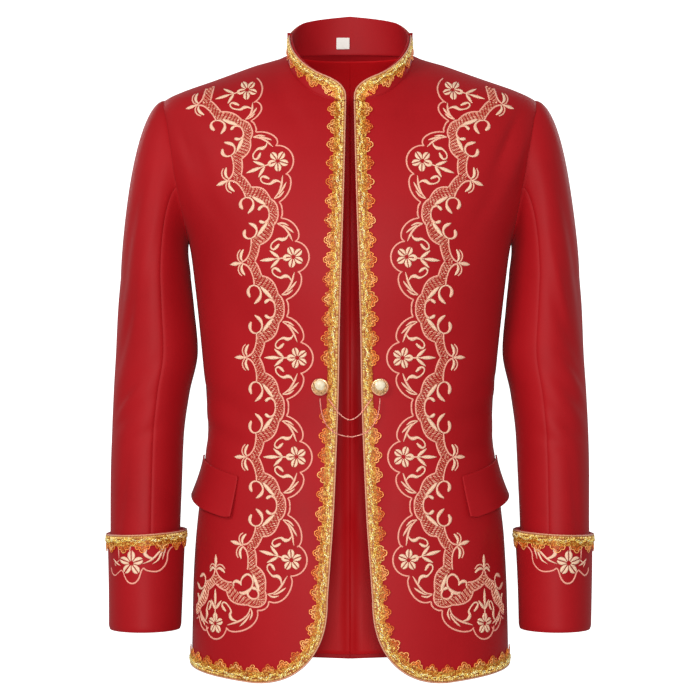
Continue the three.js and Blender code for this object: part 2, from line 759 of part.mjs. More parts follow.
// Each chain's route from the middle to a button: out from the body's form at x, z.
const UPPER_CHAIN = [
  { x: 0, z: -427, out: 3.2 },
  { x: 7.5, z: -424, out: 3.2 },
  { x: 14, z: -417.5, out: 3.6 },
  { x: 20, z: -409, out: 4.2 },
  { x: 24.8, z: -402.5, out: 4.2 },
];
const LOWER_CHAIN = [
  { x: 0, z: -446.5, out: 3.2 },
  { x: 9.5, z: -444.8, out: 3.2 },
  { x: 18.5, z: -441, out: 3.7 },
  { x: 26.5, z: -432.5, out: 3.9 },
  { x: 31.5, z: -420, out: 3.9 },
  { x: 33.2, z: -409, out: 3.9 },
  { x: 33.6, z: -402, out: 4.4 },
];

function chain(route) {
  const half = route.map(({ x, z, out }) => {
    const p = ringPoint(angleAtX(Math.max(x, 1e-3), z), z);
    return p.addScaledVector(bodyNormal(p), out);
  });
  const left = half.slice(1).map((p) => mirrored(p, -1));
  const path = new THREE.CatmullRomCurve3([...left.reverse(), ...half], false, "centripetal");
  const section = new THREE.Shape(
    steps(CHAIN.sides)
      .slice(0, -1)
      .map((share) => {
        const turn = share * 2 * Math.PI;
        return new THREE.Vector2(CHAIN.radius * Math.cos(turn), CHAIN.radius * Math.sin(turn));
      }),
  );
  return new THREE.ExtrudeGeometry(section, { steps: CHAIN.steps, extrudePath: path });
}

// ---------------------------------------------------------------- the coat
const material = (color, roughness, metalness = 0) =>
  new THREE.MeshStandardMaterial({ color, roughness, metalness });
const SATIN = material(0xa81a20, 0.5);
const LINING_SATIN = material(0x96121a, 0.4);
const GOLD_BRAID = material(0xc88c32, 0.35, 0.6);
const BUTTON_GOLD = material(0xd9a860, 0.3, 0.8);
const CHAIN_GOLD = material(0xd9957a, 0.35, 0.7);
const LABEL_WHITE = material(0xf2ece4, 0.8);

const coat = new THREE.Group();

function add(name, geometry, finish) {
  const mesh = new THREE.Mesh(geometry, finish);
  mesh.name = name;
  coat.add(mesh);
  return mesh;
}

for (const [name, side] of [["left", 1], ["right", -1]]) {
  add(`front_${name}`, bodyPanel(-1, side), SATIN);
  add(`back_${name}`, bodyPanel(1, side), SATIN);
  add(`lining_back_${name}`, backLining(side), LINING_SATIN);
  add(`sleeve_top_${name}`, topSleeve(side), SATIN);
  add(`sleeve_under_${name}`, underSleeve(side), SATIN);
  add(`cuff_${name}`, cuff(side), SATIN);
  add(`pocket_flap_${name}`, pocketFlap(side), SATIN);
  add(`braid_front_${name}`, frontBraid(side), GOLD_BRAID);
  add(`braid_cuff_${name}`, cuffBraid(side), GOLD_BRAID);
  placeButton(add(`button_${name}`, buttonGeometry(), BUTTON_GOLD), side);
}
add("collar", collar(), SATIN);
add("braid_collar", collarBraid(), GOLD_BRAID);
add("neck_label", neckLabel(), LABEL_WHITE);
add("chain_upper", chain(UPPER_CHAIN), CHAIN_GOLD);
add("chain_lower", chain(LOWER_CHAIN), CHAIN_GOLD);

export default coat;
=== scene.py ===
"""The looks of a court coat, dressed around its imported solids.

Forms are worked out in millimetres on the coat's own axes: +Z up, the wearer faces -Y
and the wearer's left is +X, with the origin in the middle of the neck. They turn into
metres only when a mesh is made.
"""
import logging
import math
from dataclasses import dataclass, field
from enum import Enum
from itertools import product
from typing import Callable, Iterable, NamedTuple, Sequence

import bpy
import numpy as np
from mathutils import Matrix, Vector


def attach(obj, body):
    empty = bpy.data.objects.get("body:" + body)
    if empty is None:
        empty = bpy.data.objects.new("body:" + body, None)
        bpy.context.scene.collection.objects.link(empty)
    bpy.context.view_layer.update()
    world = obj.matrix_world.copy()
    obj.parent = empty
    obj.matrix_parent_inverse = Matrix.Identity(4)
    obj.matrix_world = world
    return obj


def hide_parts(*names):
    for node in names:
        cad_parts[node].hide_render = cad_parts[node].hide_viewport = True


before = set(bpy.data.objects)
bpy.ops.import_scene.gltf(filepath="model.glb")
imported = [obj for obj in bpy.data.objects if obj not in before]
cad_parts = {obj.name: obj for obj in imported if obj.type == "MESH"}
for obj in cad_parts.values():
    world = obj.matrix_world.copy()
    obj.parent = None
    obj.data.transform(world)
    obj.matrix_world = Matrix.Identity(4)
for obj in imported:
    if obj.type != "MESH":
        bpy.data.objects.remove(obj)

LOG = logging.getLogger("court_coat")
MM = 0.001
BODY = "root"
SIDES = {"left": 1, "right": -1}  # the wearer's left is +X

Array = np.ndarray
Colour = tuple[float, float, float]
# Turns flat places and a height over the cloth into points on the coat.
OnCoat = Callable[[Array, float], Array]
# Where the closer shares near an end lie, in widths of the closest, and how far past the
# last of them the even ones begin, in its own distance.
EDGE_STEPS, EDGE_CLEAR = (1.0, 2.2, 4.0), 1.3


# ------------------------------------------------------------------ small maths
def lerp(a: Array, b: Array, share: Array) -> Array:
    """The value that lies a share of the way from a to b."""
    return a + (b - a) * share


def unit(vectors: Array) -> Array:
    """Vectors scaled to a length of 1."""
    length = np.linalg.norm(vectors, axis=-1, keepdims=True)
    return vectors / np.where(length > 0, length, 1)


def shares(count: int) -> Array:
    """Even shares from 0 to 1, both ends among them."""
    return np.linspace(0, 1, count + 1)


def shares_with_edges(count: int, edge: float, length: float) -> Array:
    """Even shares from 0 to 1 with closer ones near both ends.

    Args:
        count: Even steps between the two ends.
        edge: Distance of the closest share from an end.
        length: Length that the shares divide, in the same unit.

    Returns:
        The sorted shares.
    """
    near = edge * np.array(EDGE_STEPS) / length
    even = shares(count)
    clear = near[-1] * EDGE_CLEAR
    kept = even[(even > clear) & (even < 1 - clear)]
    return np.concatenate([[0], near, kept, 1 - near[::-1], [1]])


def lengths_along(points: Array) -> Array:
    """Running length along a line of points, from 0."""
    return np.concatenate([[0], np.cumsum(np.linalg.norm(np.diff(points, axis=0), axis=1))])


def evenly(points: Array, spacing: float, whole: int = 1) -> Array:
    """Points at an even spacing along a line.

    Args:
        points: The line's points.
        spacing: Wanted distance between neighbours.
        whole: The count of steps is a multiple of this.

    Returns:
        The new points, both ends among them.
    """
    run = lengths_along(points)
    count = max(1, round(run[-1] / spacing / whole)) * whole
    want = np.linspace(0, run[-1], count + 1)
    return np.stack([np.interp(want, run, points[:, k]) for k in range(points.shape[1])], axis=1)


def together(*values: Array | float) -> list[Array]:
    """The values as arrays of one common shape.

    Args:
        *values: Numbers or arrays.

    Returns:
        The arrays.
    """
    return np.broadcast_arrays(*(np.asarray(value, float) for value in values))


def catmull_rom(points: Array, steps: int) -> Array:
    """A smooth line through points, by centripetal Catmull-Rom.

    Args:
        points: The points that the line passes through.
        steps: Steps between two neighbouring points.

    Returns:
        The line's points.
    """
    points = np.asarray(points, float)
    ends = [2 * points[0] - points[1], *points, 2 * points[-1] - points[-2]]
    line = []
    for p0, p1, p2, p3 in zip(ends, ends[1:], ends[2:], ends[3:]):
        t1 = np.linalg.norm(p1 - p0) ** 0.5
        t2 = t1 + np.linalg.norm(p2 - p1) ** 0.5
        t3 = t2 + np.linalg.norm(p3 - p2) ** 0.5
        for t in t1 + (t2 - t1) * shares(steps)[:-1]:
            a1 = lerp(p0, p1, t / t1)
            a2 = lerp(p1, p2, (t - t1) / (t2 - t1))
            a3 = lerp(p2, p3, (t - t2) / (t3 - t2))
            b1 = lerp(a1, a2, t / t2)
            b2 = lerp(a2, a3, (t - t1) / (t3 - t1))
            line.append(lerp(b1, b2, (t - t1) / (t2 - t1)))
    return np.array([*line, points[-1]])


class Table:
    """A short table with named columns, read between its rows by a monotone cubic."""

    def __init__(self, names: Sequence[str], rows: Sequence[Sequence[float]]) -> None:
        """Keeps the rows and works out a slope for each number.

        Args:
            names: The columns' names, the key first.
            rows: A row for each key, in rising order.
        """
        self.names = list(names)
        self.rows = np.array(rows, float)
        keys = self.rows[:, :1]
        secants = np.diff(self.rows, axis=0) / np.diff(keys, axis=0)
        before = np.vstack([secants[:1], secants])
        after = np.vstack([secants, secants[-1:]])
        agree = before * after > 0
        total = np.where(agree, before + after, 1)
        self.slopes = np.where(agree, 2 * before * after / total, 0)

    def at(self, name: str, key: Array) -> Array:
        """The column's value at each key, held at the table's ends.

        Args:
            name: The column.
            key: The keys to read it at.

        Returns:
            A value for each key.
        """
        column = self.names.index(name)
        keys, values = self.rows[:, 0], self.rows[:, column]
        held = np.clip(key, keys[0], keys[-1])
        i = np.clip(np.searchsorted(keys, held) - 1, 0, len(keys) - 2)
        step = keys[i + 1] - keys[i]
        u = (held - keys[i]) / step
        rise = self.slopes[i, column] * step
        fall = self.slopes[i + 1, column] * step
        near = (1 + 2 * u) * (1 - u) ** 2 * values[i] + u * (1 - u) ** 2 * rise
        return near + u * u * (3 - 2 * u) * values[i + 1] + u * u * (u - 1) * fall


@dataclass(frozen=True)
class Crease:
    """A soft trough in the cloth, or a ridge where its depth is below 0."""

    side: int
    face: int
    across: float
    z: float
    slant: float
    long: float
    wide: float
    depth: float

    def at(self, across: Array, z: Array) -> Array:
        """How far the cloth is pressed in at a place.

        Args:
            across: Places across the cloth.
            z: Levels.

        Returns:
            A depth for each place.
        """
        slant = math.radians(self.slant)
        over, along = across - self.across, z - self.z
        beside = over * math.cos(slant) - along * math.sin(slant)
        down = over * math.sin(slant) + along * math.cos(slant)
        return self.depth * np.exp(-((beside / self.wide) ** 2) - (down / self.long) ** 2)


# ------------------------------------------------------------------ the coat's forms
FRONT, BACK = -1, 1  # faces of the body, by the sign of y


class BodyForm:
    """The form that the fronts and backs follow: level rings under a shoulder line."""

    rings = Table(
        ["z", "half", "front", "back", "square"],
        [
            [-740, 186.5, 131, 132, 2.35],
            [-638, 185, 129, 130, 2.35],
            [-568, 181.5, 125, 125, 2.3],
            [-523, 177, 121, 119, 2.3],
            [-472, 170.5, 116, 111, 2.3],
            [-440, 168, 114, 108, 2.3],
            [-409, 169.5, 115, 107, 2.3],
            [-350, 174, 121, 111, 2.35],
            [-261, 184, 130, 123, 2.4],
            [-222, 190, 129, 127, 2.4],
            [-190, 203, 126, 128, 2.4],
            [-165, 214, 122, 127, 2.4],
            [-135, 225, 115.5, 124, 2.4],
            [-107, 230, 107, 119, 2.4],
            [-90, 231, 101, 115, 2.35],
            [-72, 229, 93, 110, 2.3],
            [-62, 224, 88, 107, 2.3],
            [-54, 217, 83, 104, 2.3],
            [-46, 201.4, 77.5, 100, 2.25],
            [-30, 157, 64, 93, 2.2],
            [-15, 115.5, 45, 84, 2.2],
            [0, 74, 25, 72, 2.2],
            [5, 73, 22, 67, 2.2],
            [10, 70, 20, 62, 2.2],
        ],
    )
    front_edge = Table(
        ["z", "gap"],
        [
            [-630, 25],
            [-585, 21.7],
            [-540, 18.6],
            [-472, 15.5],
            [-388, 12.6],
            [-337, 11.8],
            [-133, 6],
            [-63, 4.5],
        ],
    )
    neck_half, neck_drop, neck_rise, neck_gap = 74.0, 63.0, 10.0, 4.5
    armhole_top, armhole_foot, armhole_middle, armhole_reach = -54.0, -222.0, 3.0, 60.0
    hem_front, hem_side, hem_back = -726.0, -713.5, -727.5
    corner_width, corner_height, corner_power = 85.0, 96.0, 0.87
    uneven_depth, uneven_waves = 0.35, (34.0, 27.0)
    # Drag folds, the large ones first: outwards from the middle, level, degrees from
    # upright, half length, half width, depth.
    creases = [
        Crease(1, FRONT, 178, -118, 24, 42, 9, 2.4),
        Crease(-1, FRONT, 174, -128, 20, 38, 9, 1.8),
        Crease(1, FRONT, 80, -52, 12, 34, 12, 2.0),
        Crease(-1, FRONT, 80, -52, 12, 34, 12, 2.0),
        Crease(1, FRONT, 150, -420, 68, 46, 12, 2.2),
        Crease(-1, FRONT, 148, -408, 64, 42, 12, 2.2),
        Crease(1, BACK, 150, -150, 22, 60, 12, 2.6),
        Crease(-1, BACK, 146, -160, 18, 52, 12, 2.2),
        Crease(1, BACK, 96, -430, 72, 60, 13, 2.4),
        Crease(-1, BACK, 104, -414, 66, 54, 13, 2.4),
        Crease(1, FRONT, 192, -132, 22, 46, 7, -1.5),
        Crease(-1, FRONT, 190, -142, 18, 40, 7, -1.2),
        Crease(1, FRONT, 160, -176, 30, 34, 8, 1.3),
        Crease(-1, FRONT, 158, -184, 34, 30, 8, 1.2),
        Crease(1, FRONT, 148, -462, 72, 34, 9, 1.5),
        Crease(-1, FRONT, 152, -450, 78, 38, 9, 1.4),
        Crease(1, FRONT, 46, -500, 6, 70, 14, 1.1),
        Crease(-1, FRONT, 44, -540, 4, 80, 14, 1.2),
        Crease(1, FRONT, 128, -330, 30, 70, 16, 1.0),
        Crease(-1, FRONT, 130, -300, 26, 64, 16, 1.1),
        Crease(1, FRONT, 150, -640, -12, 70, 14, -1.1),
        Crease(-1, FRONT, 152, -650, -10, 66, 14, -1.0),
        Crease(1, FRONT, 183, -104, 22, 30, 5, 1.7),
        Crease(1, FRONT, 199, -150, 10, 34, 5, 1.5),
        Crease(-1, FRONT, 190, -112, 20, 26, 5, 1.4),
        Crease(1, FRONT, 60, -76, 24, 26, 6, 1.3),
        Crease(-1, FRONT, 62, -82, 26, 24, 6, 1.2),
        Crease(1, FRONT, 158, -390, 58, 26, 6, 1.2),
        Crease(-1, FRONT, 157, -440, 74, 26, 6, 1.3),
        Crease(1, FRONT, 168, -560, 8, 60, 9, 1.5),
        Crease(-1, FRONT, 170, -585, 6, 64, 9, 1.4),
        Crease(1, BACK, 40, -300, 8, 120, 16, 1.5),
        Crease(-1, BACK, 48, -340, 6, 110, 16, 1.4),
        Crease(1, BACK, 120, -250, 28, 70, 14, 1.6),
        Crease(-1, BACK, 118, -236, 32, 64, 14, 1.6),
        Crease(1, BACK, 60, -470, 80, 44, 9, 1.6),
        Crease(-1, BACK, 66, -458, 84, 40, 9, 1.5),
        Crease(1, BACK, 110, -610, 6, 84, 18, 1.8),
        Crease(-1, BACK, 104, -630, 4, 90, 18, 1.7),
    ]

    def ring(self, angle: Array, z: Array) -> Array:
        """Points on the level rings: angle 0 is centre front, pi is centre back.

        Args:
            angle: Angles on the rings.
            z: Levels.

        Returns:
            The points, on the wearer's left.
        """
        angle, z = together(angle, z)
        power = 2 / self.rings.at("square", z)
        cos = np.cos(angle)
        front, back = self.rings.at("front", z), self.rings.at("back", z)
        depth = np.where(cos > 0, front, back)
        x = self.rings.at("half", z) * np.maximum(0, np.sin(angle)) ** power
        return np.stack([x, -np.sign(cos) * depth * np.abs(cos) ** power, z], axis=-1)

    def angle_at_x(self, x: Array, z: Array, face: int = FRONT) -> Array:
        """The ring's angle at a distance from the middle plane.

        Args:
            x: Distances from the middle plane.
            z: Levels.
            face: Front or back.

        Returns:
            The angles.
        """
        share = np.clip(x / self.rings.at("half", z), 0, 1)
        angle = np.arcsin(share ** (self.rings.at("square", z) / 2))
        return angle if face == FRONT else np.pi - angle

    def angle_at_y(self, y: Array, z: Array) -> Array:
        """The ring's angle at a depth: below 0 is the front half.

        Args:
            y: Depths.
            z: Levels.

        Returns:
            The angles.
        """
        depth = np.where(y < 0, self.rings.at("front", z), self.rings.at("back", z))
        share = np.clip(np.abs(y) / depth, 0, 1)
        angle = np.arccos(share ** (self.rings.at("square", z) / 2))
        return np.where(y < 0, angle, np.pi - angle)

    def reach(self, p: Array) -> Array:
        """How far out a point is: 1 on the form, more outside it.

        Args:
            p: Points.

        Returns:
            A reach for each.
        """
        x, y, z = p[..., 0], p[..., 1], p[..., 2]
        square = self.rings.at("square", z)
        depth = np.where(y < 0, self.rings.at("front", z), self.rings.at("back", z))
        half = self.rings.at("half", z)
        return (np.abs(x) / half) ** square + (np.abs(y) / depth) ** square

    def normal(self, p: Array) -> Array:
        """The outward direction at points on the form.

        Args:
            p: Points near the form.

        Returns:
            A unit direction for each.
        """
        step = 0.5  # a short way each side of the point
        slopes = []
        for axis in range(3):
            offset = np.zeros(3)
            offset[axis] = step
            slopes.append(self.reach(p + offset) - self.reach(p - offset))
        return unit(np.stack(slopes, axis=-1))

    def pressed(self, p: Array, side: int) -> Array:
        """How far the creases press the cloth in at points on one side.

        Args:
            p: Points on the wearer's left half.
            side: 1 for the wearer's left, -1 for the right.

        Returns:
            A depth for each point.
        """
        total = np.zeros(p.shape[:-1])
        for crease in self.creases:
            if crease.side == side:
                same = np.where(p[..., 1] * crease.face > 0, 1.0, 0.0)
                total += same * crease.at(p[..., 0], p[..., 2])
        # A slow unevenness, as pressed cloth has, that dies out towards the middle.
        high, wide = self.uneven_waves
        slow = np.sin(p[..., 2] / high + side) * np.sin(p[..., 0] / wide + 2 * side)
        return total + self.uneven_depth * slow * np.clip(p[..., 0] / 30 - 0.4, 0, 1)

    def point(self, angle: Array, z: Array, out: Array, side: int) -> Array:
        """Points on the creased cloth, moved out, on the wearer's side that is asked for.

        Args:
            angle: Angles on the rings.
            z: Levels.
            out: Distances out from the cloth.
            side: 1 for the wearer's left, -1 for the right.

        Returns:
            The points.
        """
        p = self.ring(angle, z)
        move = out - self.pressed(p, side)
        p = p + self.normal(p) * np.expand_dims(move, -1)
        return p * [side, 1, 1]

    def edge_angle(self, z: Array) -> Array:
        """The angle of the front edge at a level."""
        return self.angle_at_x(self.front_edge.at("gap", z), z)

    def neck_angle(self, z: Array, face: int) -> Array:
        """The angle of the neckline at a level.

        Args:
            z: Levels.
            face: Front or back.

        Returns:
            The angles.
        """
        if face == FRONT:
            turn = np.arccos(np.clip(-z / self.neck_drop, 0, 1))
            return self.angle_at_x(lerp(self.neck_gap, self.neck_half, np.sin(turn)), z)
        turn = np.arcsin(np.clip(z / self.neck_rise, 0, 1))
        return self.angle_at_x(self.neck_half * np.cos(turn), z, BACK)

    def armhole_depth(self, z: Array, face: int) -> Array:
        """How far forward or back the armhole seam is at a level.

        Args:
            z: Levels.
            face: Front or back.

        Returns:
            The depths, below 0 in front.
        """
        middle = (self.armhole_top + self.armhole_foot) / 2
        half = (self.armhole_top - self.armhole_foot) / 2
        cos = np.clip((z - middle) / half, -1, 1)
        return self.armhole_middle * (1 - cos) / 2 + face * self.armhole_reach * np.sqrt(1 - cos**2)

    def armhole_point(self, turn: Array) -> Array:
        """The armhole seam: turn is 0 at the shoulder, pi/2 in front, pi under the arm.

        Args:
            turn: Turns round the seam, in radians.

        Returns:
            The points.
        """
        middle = (self.armhole_top + self.armhole_foot) / 2
        half = (self.armhole_top - self.armhole_foot) / 2
        z = middle + half * np.cos(turn)
        y = self.armhole_middle * (1 - np.cos(turn)) / 2 - self.armhole_reach * np.sin(turn)
        # Straight above and below the arm y is 0, and counts as just in front.
        return self.ring(self.angle_at_y(np.where(y == 0, -1e-6, y), z), z)

    def corner(self, share: Array) -> tuple[Array, Array]:
        """The rounded corner in a front view, from the edge (0) to the hem (1).

        Args:
            share: Shares of the way.

        Returns:
            Distances from the middle plane, and levels.
        """
        turn = np.asarray(share, float) * np.pi / 2
        top = self.hem_front + self.corner_height
        cos, sin = np.maximum(0, np.cos(turn)), np.maximum(0, np.sin(turn))
        x = self.front_edge.at("gap", top) + self.corner_width * (1 - cos**self.corner_power)
        return x, self.hem_front + self.corner_height * (1 - sin**self.corner_power)


class ClothMap:
    """Turns lengths over the cloth from the centre front into angles on the rings."""

    lowest, highest, level_step = -740.0, -1.0, 4.0
    widest = 330.0
    measures = 500

    def __init__(self, form: BodyForm) -> None:
        """Measures the rings once, at even levels and at every millimetre.

        Args:
            form: The form that the cloth lies on.
        """
        self.levels = np.arange(self.lowest, self.highest, self.level_step)
        self.runs = np.arange(0.0, self.widest, 1.0)
        angles = np.linspace(0, np.pi / 2, self.measures)
        rows = []
        for z in self.levels:
            run = lengths_along(form.ring(angles, np.full_like(angles, z)))
            rows.append(np.interp(self.runs, run, angles))
        self.angles = np.array(rows)

    def angle(self, run: Array, z: Array) -> Array:
        """The ring's angle at a length over the cloth from the centre front.

        Args:
            run: Lengths over the cloth.
            z: Levels.

        Returns:
            The angles.
        """
        # Held just inside the last row and column, as the next one is read as well.
        row = np.clip((z - self.lowest) / self.level_step, 0, len(self.levels) - 1.001)
        column = np.clip(run, 0, self.runs[-1] - 1.001)
        i, j = row.astype(int), column.astype(int)
        f, g = row - i, column - j
        low = lerp(self.angles[i, j], self.angles[i, j + 1], g)
        high = lerp(self.angles[i + 1, j], self.angles[i + 1, j + 1], g)
        return lerp(low, high, f)


class CollarForm:
    """The stand collar: a band that rises from the neckline and leans in."""

    shape = Table(
        ["around", "height", "lean"],
        [
            [0, 25, 1],
            [0.25, 27, 2],
            [0.5, 24, 4],
            [0.72, 36, 4],
            [1, 42, 3],
        ],
    )
    wall, corner_length, front_step, corner_power = 2.4, 26.0, 5.0, 2.2
    crowding = 1.4  # measured places crowd towards the front edge by this power
    measures = 80

    def __init__(self, body: BodyForm) -> None:
        """Measures the neckline once.

        Args:
            body: The form that carries the neckline.
        """
        self.body = body
        around = shares(self.measures) ** self.crowding
        run = lengths_along(self.neck(around))
        self.runs = Table(["run", "around"], np.stack([run, around], axis=1))
        self.length = run[-1]

    def neck(self, around: Array) -> Array:
        """The neckline: 0 at the front edge, 0.5 at the neck's side, 1 at centre back.

        Args:
            around: Places round it.

        Returns:
            The points.
        """
        body = self.body
        around = np.asarray(around, float)
        turn = around * np.pi
        z = -body.neck_drop * np.cos(turn)
        front_x = lerp(body.neck_gap, body.neck_half, np.sin(turn))
        back_turn = (around - 0.5) * np.pi
        back_z = body.neck_rise * np.sin(back_turn)
        level = np.where(around <= 0.5, z, back_z)
        front = body.angle_at_x(front_x, level)
        back = body.angle_at_x(body.neck_half * np.cos(back_turn), level, BACK)
        return body.ring(np.where(around <= 0.5, front, back), level)

    def height(self, around: Array) -> Array:
        """Height of the collar, rounded off towards its front edge.

        Args:
            around: Places round the neckline.

        Returns:
            The heights.
        """
        full = self.shape.at("height", around)
        past = (self.neck(around)[..., 0] - self.body.neck_gap) / self.corner_length
        past = np.where(np.asarray(around) > 0.5, 1, np.clip(past, 0, 1))
        power = self.corner_power
        curve = (1 - (1 - past) ** power) ** (1 / power)
        return self.front_step + (full - self.front_step) * curve

    def point(self, around: Array, up: Array, out: Array, side: int) -> Array:
        """Points on the collar, up from its seam and out from its outer face.

        Args:
            around: Places round the neckline.
            up: Heights over it.
            out: Distances out.
            side: 1 for the wearer's left, -1 for the right.

        Returns:
            The points.
        """
        around, up, out = together(around, up, out)
        step = 0.004
        ahead = self.neck(np.minimum(1, around + step))
        along = ahead - self.neck(np.maximum(0, around - step))
        outward = unit(np.stack([along[..., 1], -along[..., 0], 0 * up], axis=-1))
        lean = self.shape.at("lean", around) * up / self.shape.at("height", around)
        p = self.neck(around) + outward * (out - lean)[..., None]
        return (p + np.stack([0 * up, 0 * up, up], axis=-1)) * [side, 1, 1]


class SleeveForm:
    """A sleeve: a rounded head on the armhole, then level rings down to its end."""

    top, end, seam_gap = -262.0, -669.5, 0.42
    # How the head leaves the armhole and arrives at the first ring, under the arm and at
    # the shoulder, and how far the leaving way leans forward and down beside them.
    leave_low, leave_high = (8.0, 0, -28), (100.0, 0, 6)
    arrive_low, arrive_high = 36.0, 150.0
    leave_forward, leave_down = 22, 42
    creases_start = 0.25  # the share of the head on which creases grow to their full depth
    creases_end, creases_fade = -590.0, 40.0  # where they have faded out, and over what length
    uneven_depth, uneven_wave = 0.4, 31.0
    rings = Table(
        ["z", "inner", "outer", "forward", "depth"],
        [
            [-700, 199.5, 279, 30, 51],
            [-640, 199.5, 279.5, 26, 52],
            [-560, 199, 280.5, 19, 55],
            [-500, 197.5, 280.5, 13, 58],
            [-450, 195.5, 280, 8, 61],
            [-400, 189, 278.5, 4, 65],
            [-350, 179.5, 275.5, 1, 68],
            [-300, 184, 273, -1, 71],
            [-262, 188, 270, -2, 73],
        ],
    )
    # Across is a turn round the sleeve in degrees: 0 outside, 90 in front, 270 behind.
    creases = [
        Crease(1, 0, 62, -396, 58, 44, 11, 2.6),
        Crease(1, 0, 74, -430, 66, 40, 10, 2.4),
        Crease(1, 0, 58, -330, 36, 56, 12, 2.0),
        Crease(-1, 0, 66, -384, 60, 42, 11, 2.6),
        Crease(-1, 0, 60, -424, 68, 44, 10, 2.2),
        Crease(-1, 0, 52, -316, 30, 60, 12, 2.0),
        Crease(1, 0, 292, -404, -60, 44, 12, 2.4),
        Crease(-1, 0, 296, -392, -58, 46, 12, 2.4),
        Crease(1, 0, 48, -372, 52, 36, 7, 1.5),
        Crease(-1, 0, 46, -408, 56, 34, 7, 1.5),
        Crease(1, 0, 88, -456, 74, 34, 8, 1.6),
        Crease(-1, 0, 90, -446, 72, 30, 8, 1.5),
        Crease(1, 0, 40, -240, 14, 80, 12, 1.5),
        Crease(-1, 0, 44, -228, 12, 84, 12, 1.5),
        Crease(1, 0, 70, -280, 20, 60, 10, -1.4),
        Crease(-1, 0, 72, -268, 18, 64, 10, -1.4),
        Crease(1, 0, 60, -520, 10, 56, 12, 1.2),
        Crease(-1, 0, 56, -510, 14, 60, 12, 1.2),
        Crease(1, 0, 280, -440, -70, 36, 8, 1.6),
        Crease(-1, 0, 284, -430, -66, 38, 8, 1.6),
        Crease(1, 0, 300, -300, -24, 70, 13, 1.7),
        Crease(-1, 0, 298, -290, -26, 66, 13, 1.7),
    ]

    def __init__(self, body: BodyForm) -> None:
        """Keeps the body, whose armhole the head starts on."""
        self.body = body

    def ring(self, turn: Array, z: Array, spread: Array = 0.0) -> Array:
        """Points on the level rings: turn is 0 outside and pi/2 in front.

        Args:
            turn: Turns round the sleeve.
            z: Levels.
            spread: How much wider than the sleeve.

        Returns:
            The points.
        """
        turn, z = together(turn, z)
        inner, outer = self.rings.at("inner", z), self.rings.at("outer", z)
        x = (outer + inner) / 2 + ((outer - inner) / 2 + spread) * np.cos(turn)
        depth = self.rings.at("depth", z) + spread
        return np.stack([x, -self.rings.at("forward", z) - depth * np.sin(turn), z], axis=-1)

    def head(self, turn: Array, share: Array) -> Array:
        """The head's curve, from the armhole (0) to the first level ring (1).

        Args:
            turn: Turns round the sleeve.
            share: Shares of the way down.

        Returns:
            The points.
        """
        start = self.body.armhole_point(turn) + [self.seam_gap, 0, 0]
        end = self.ring(turn, self.top)
        high = ((1 + np.cos(turn)) / 2)[..., None]
        leave = lerp(np.array(self.leave_low), np.array(self.leave_high), high)
        sin = np.sin(turn)
        lean = [0 * turn, self.leave_forward * sin, self.leave_down * np.abs(sin)]
        leave = leave - np.stack(lean, axis=-1)
        arrive = lerp(self.arrive_low, self.arrive_high, high) * [0, 0, -1]
        u = share[..., None]
        v = 1 - u
        bend = leave * u * v * v - arrive * u * u * v
        return start * (1 + 2 * u) * v * v + end * u * u * (3 - 2 * u) + bend

    def smooth(self, turn: Array, run: Array) -> Array:
        """Points without creases: run is 0 to 1 down the head, then 1 to 2 to the end.

        Args:
            turn: Turns round the sleeve.
            run: How far down.

        Returns:
            The points.
        """
        head = self.head(turn, np.clip(run, 0, 1))
        below = self.ring(turn, lerp(self.top, self.end, np.clip(run - 1, 0, 1)))
        return np.where((run <= 1)[..., None], head, below)

    def point(self, turn: Array, run: Array, out: Array, side: int) -> Array:
        """Points on the creased sleeve, moved out, on the side that is asked for.

        Args:
            turn: Turns round the sleeve.
            run: How far down, as for smooth.
            out: Distances out from the cloth.
            side: 1 for the wearer's left, -1 for the right.

        Returns:
            The points.
        """
        turn, run, out = together(turn, run, out)
        p = self.smooth(turn, run)
        step = 0.004
        around = self.smooth(turn + step, run) - self.smooth(turn - step, run)
        down = self.smooth(turn, np.minimum(2, run + step))
        down = down - self.smooth(turn, np.maximum(0, run - step))
        normal = unit(np.cross(around, down))
        radius = self.rings.at("depth", self.top)
        pressed = np.zeros(p.shape[:-1])
        for crease in self.creases:
            if crease.side == side:
                apart = np.mod(turn - math.radians(crease.across) + np.pi, 2 * np.pi) - np.pi
                pressed += crease.at(apart * radius + crease.across, p[..., 2])
        slow = np.sin(p[..., 2] / self.uneven_wave + side) * np.sin(2 * turn + side)
        pressed += self.uneven_depth * slow
        # No crease reaches the armhole seam or runs under the cuff.
        pressed *= np.clip(run / self.creases_start, 0, 1)
        pressed *= np.clip((p[..., 2] - self.creases_end) / self.creases_fade, 0, 1)
        return (p + normal * (out - pressed)[..., None]) * [side, 1, 1]


@dataclass
class CuffForm:
    """The turned-back cuff around a sleeve's end."""

    sleeve: SleeveForm
    top: float = -560.0
    bottom: float = -672.5
    top_rise: float = 5.0  # the top edge is higher next to the body
    stand: float = 1.2
    inner_stand: float = 1.4
    wall: float = 2.0
    seam: float = 0.3

    @property
    def drop(self) -> float:
        """Height of the cuff."""
        return self.top - self.bottom

    def point(self, turn: Array, up: Array, out: Array, side: int) -> Array:
        """Points on the cuff's outer face: up is 0 at its fold and 1 at its top edge.

        Args:
            turn: Turns round the sleeve.
            up: Shares of the way up.
            out: Distances out.
            side: 1 for the wearer's left, -1 for the right.

        Returns:
            The points.
        """
        turn, up, out = together(turn, up, out)
        top = self.top - self.top_rise / 2 * np.cos(turn)
        z = lerp(self.bottom, top, up)
        held = np.clip(up, 0, 1)
        room = lerp(self.seam, self.stand, held**1.5) + self.wall
        room = room + self.inner_stand * (1 - np.cos(turn)) * held
        return self.sleeve.ring(turn, z, room + out) * [side, 1, 1]


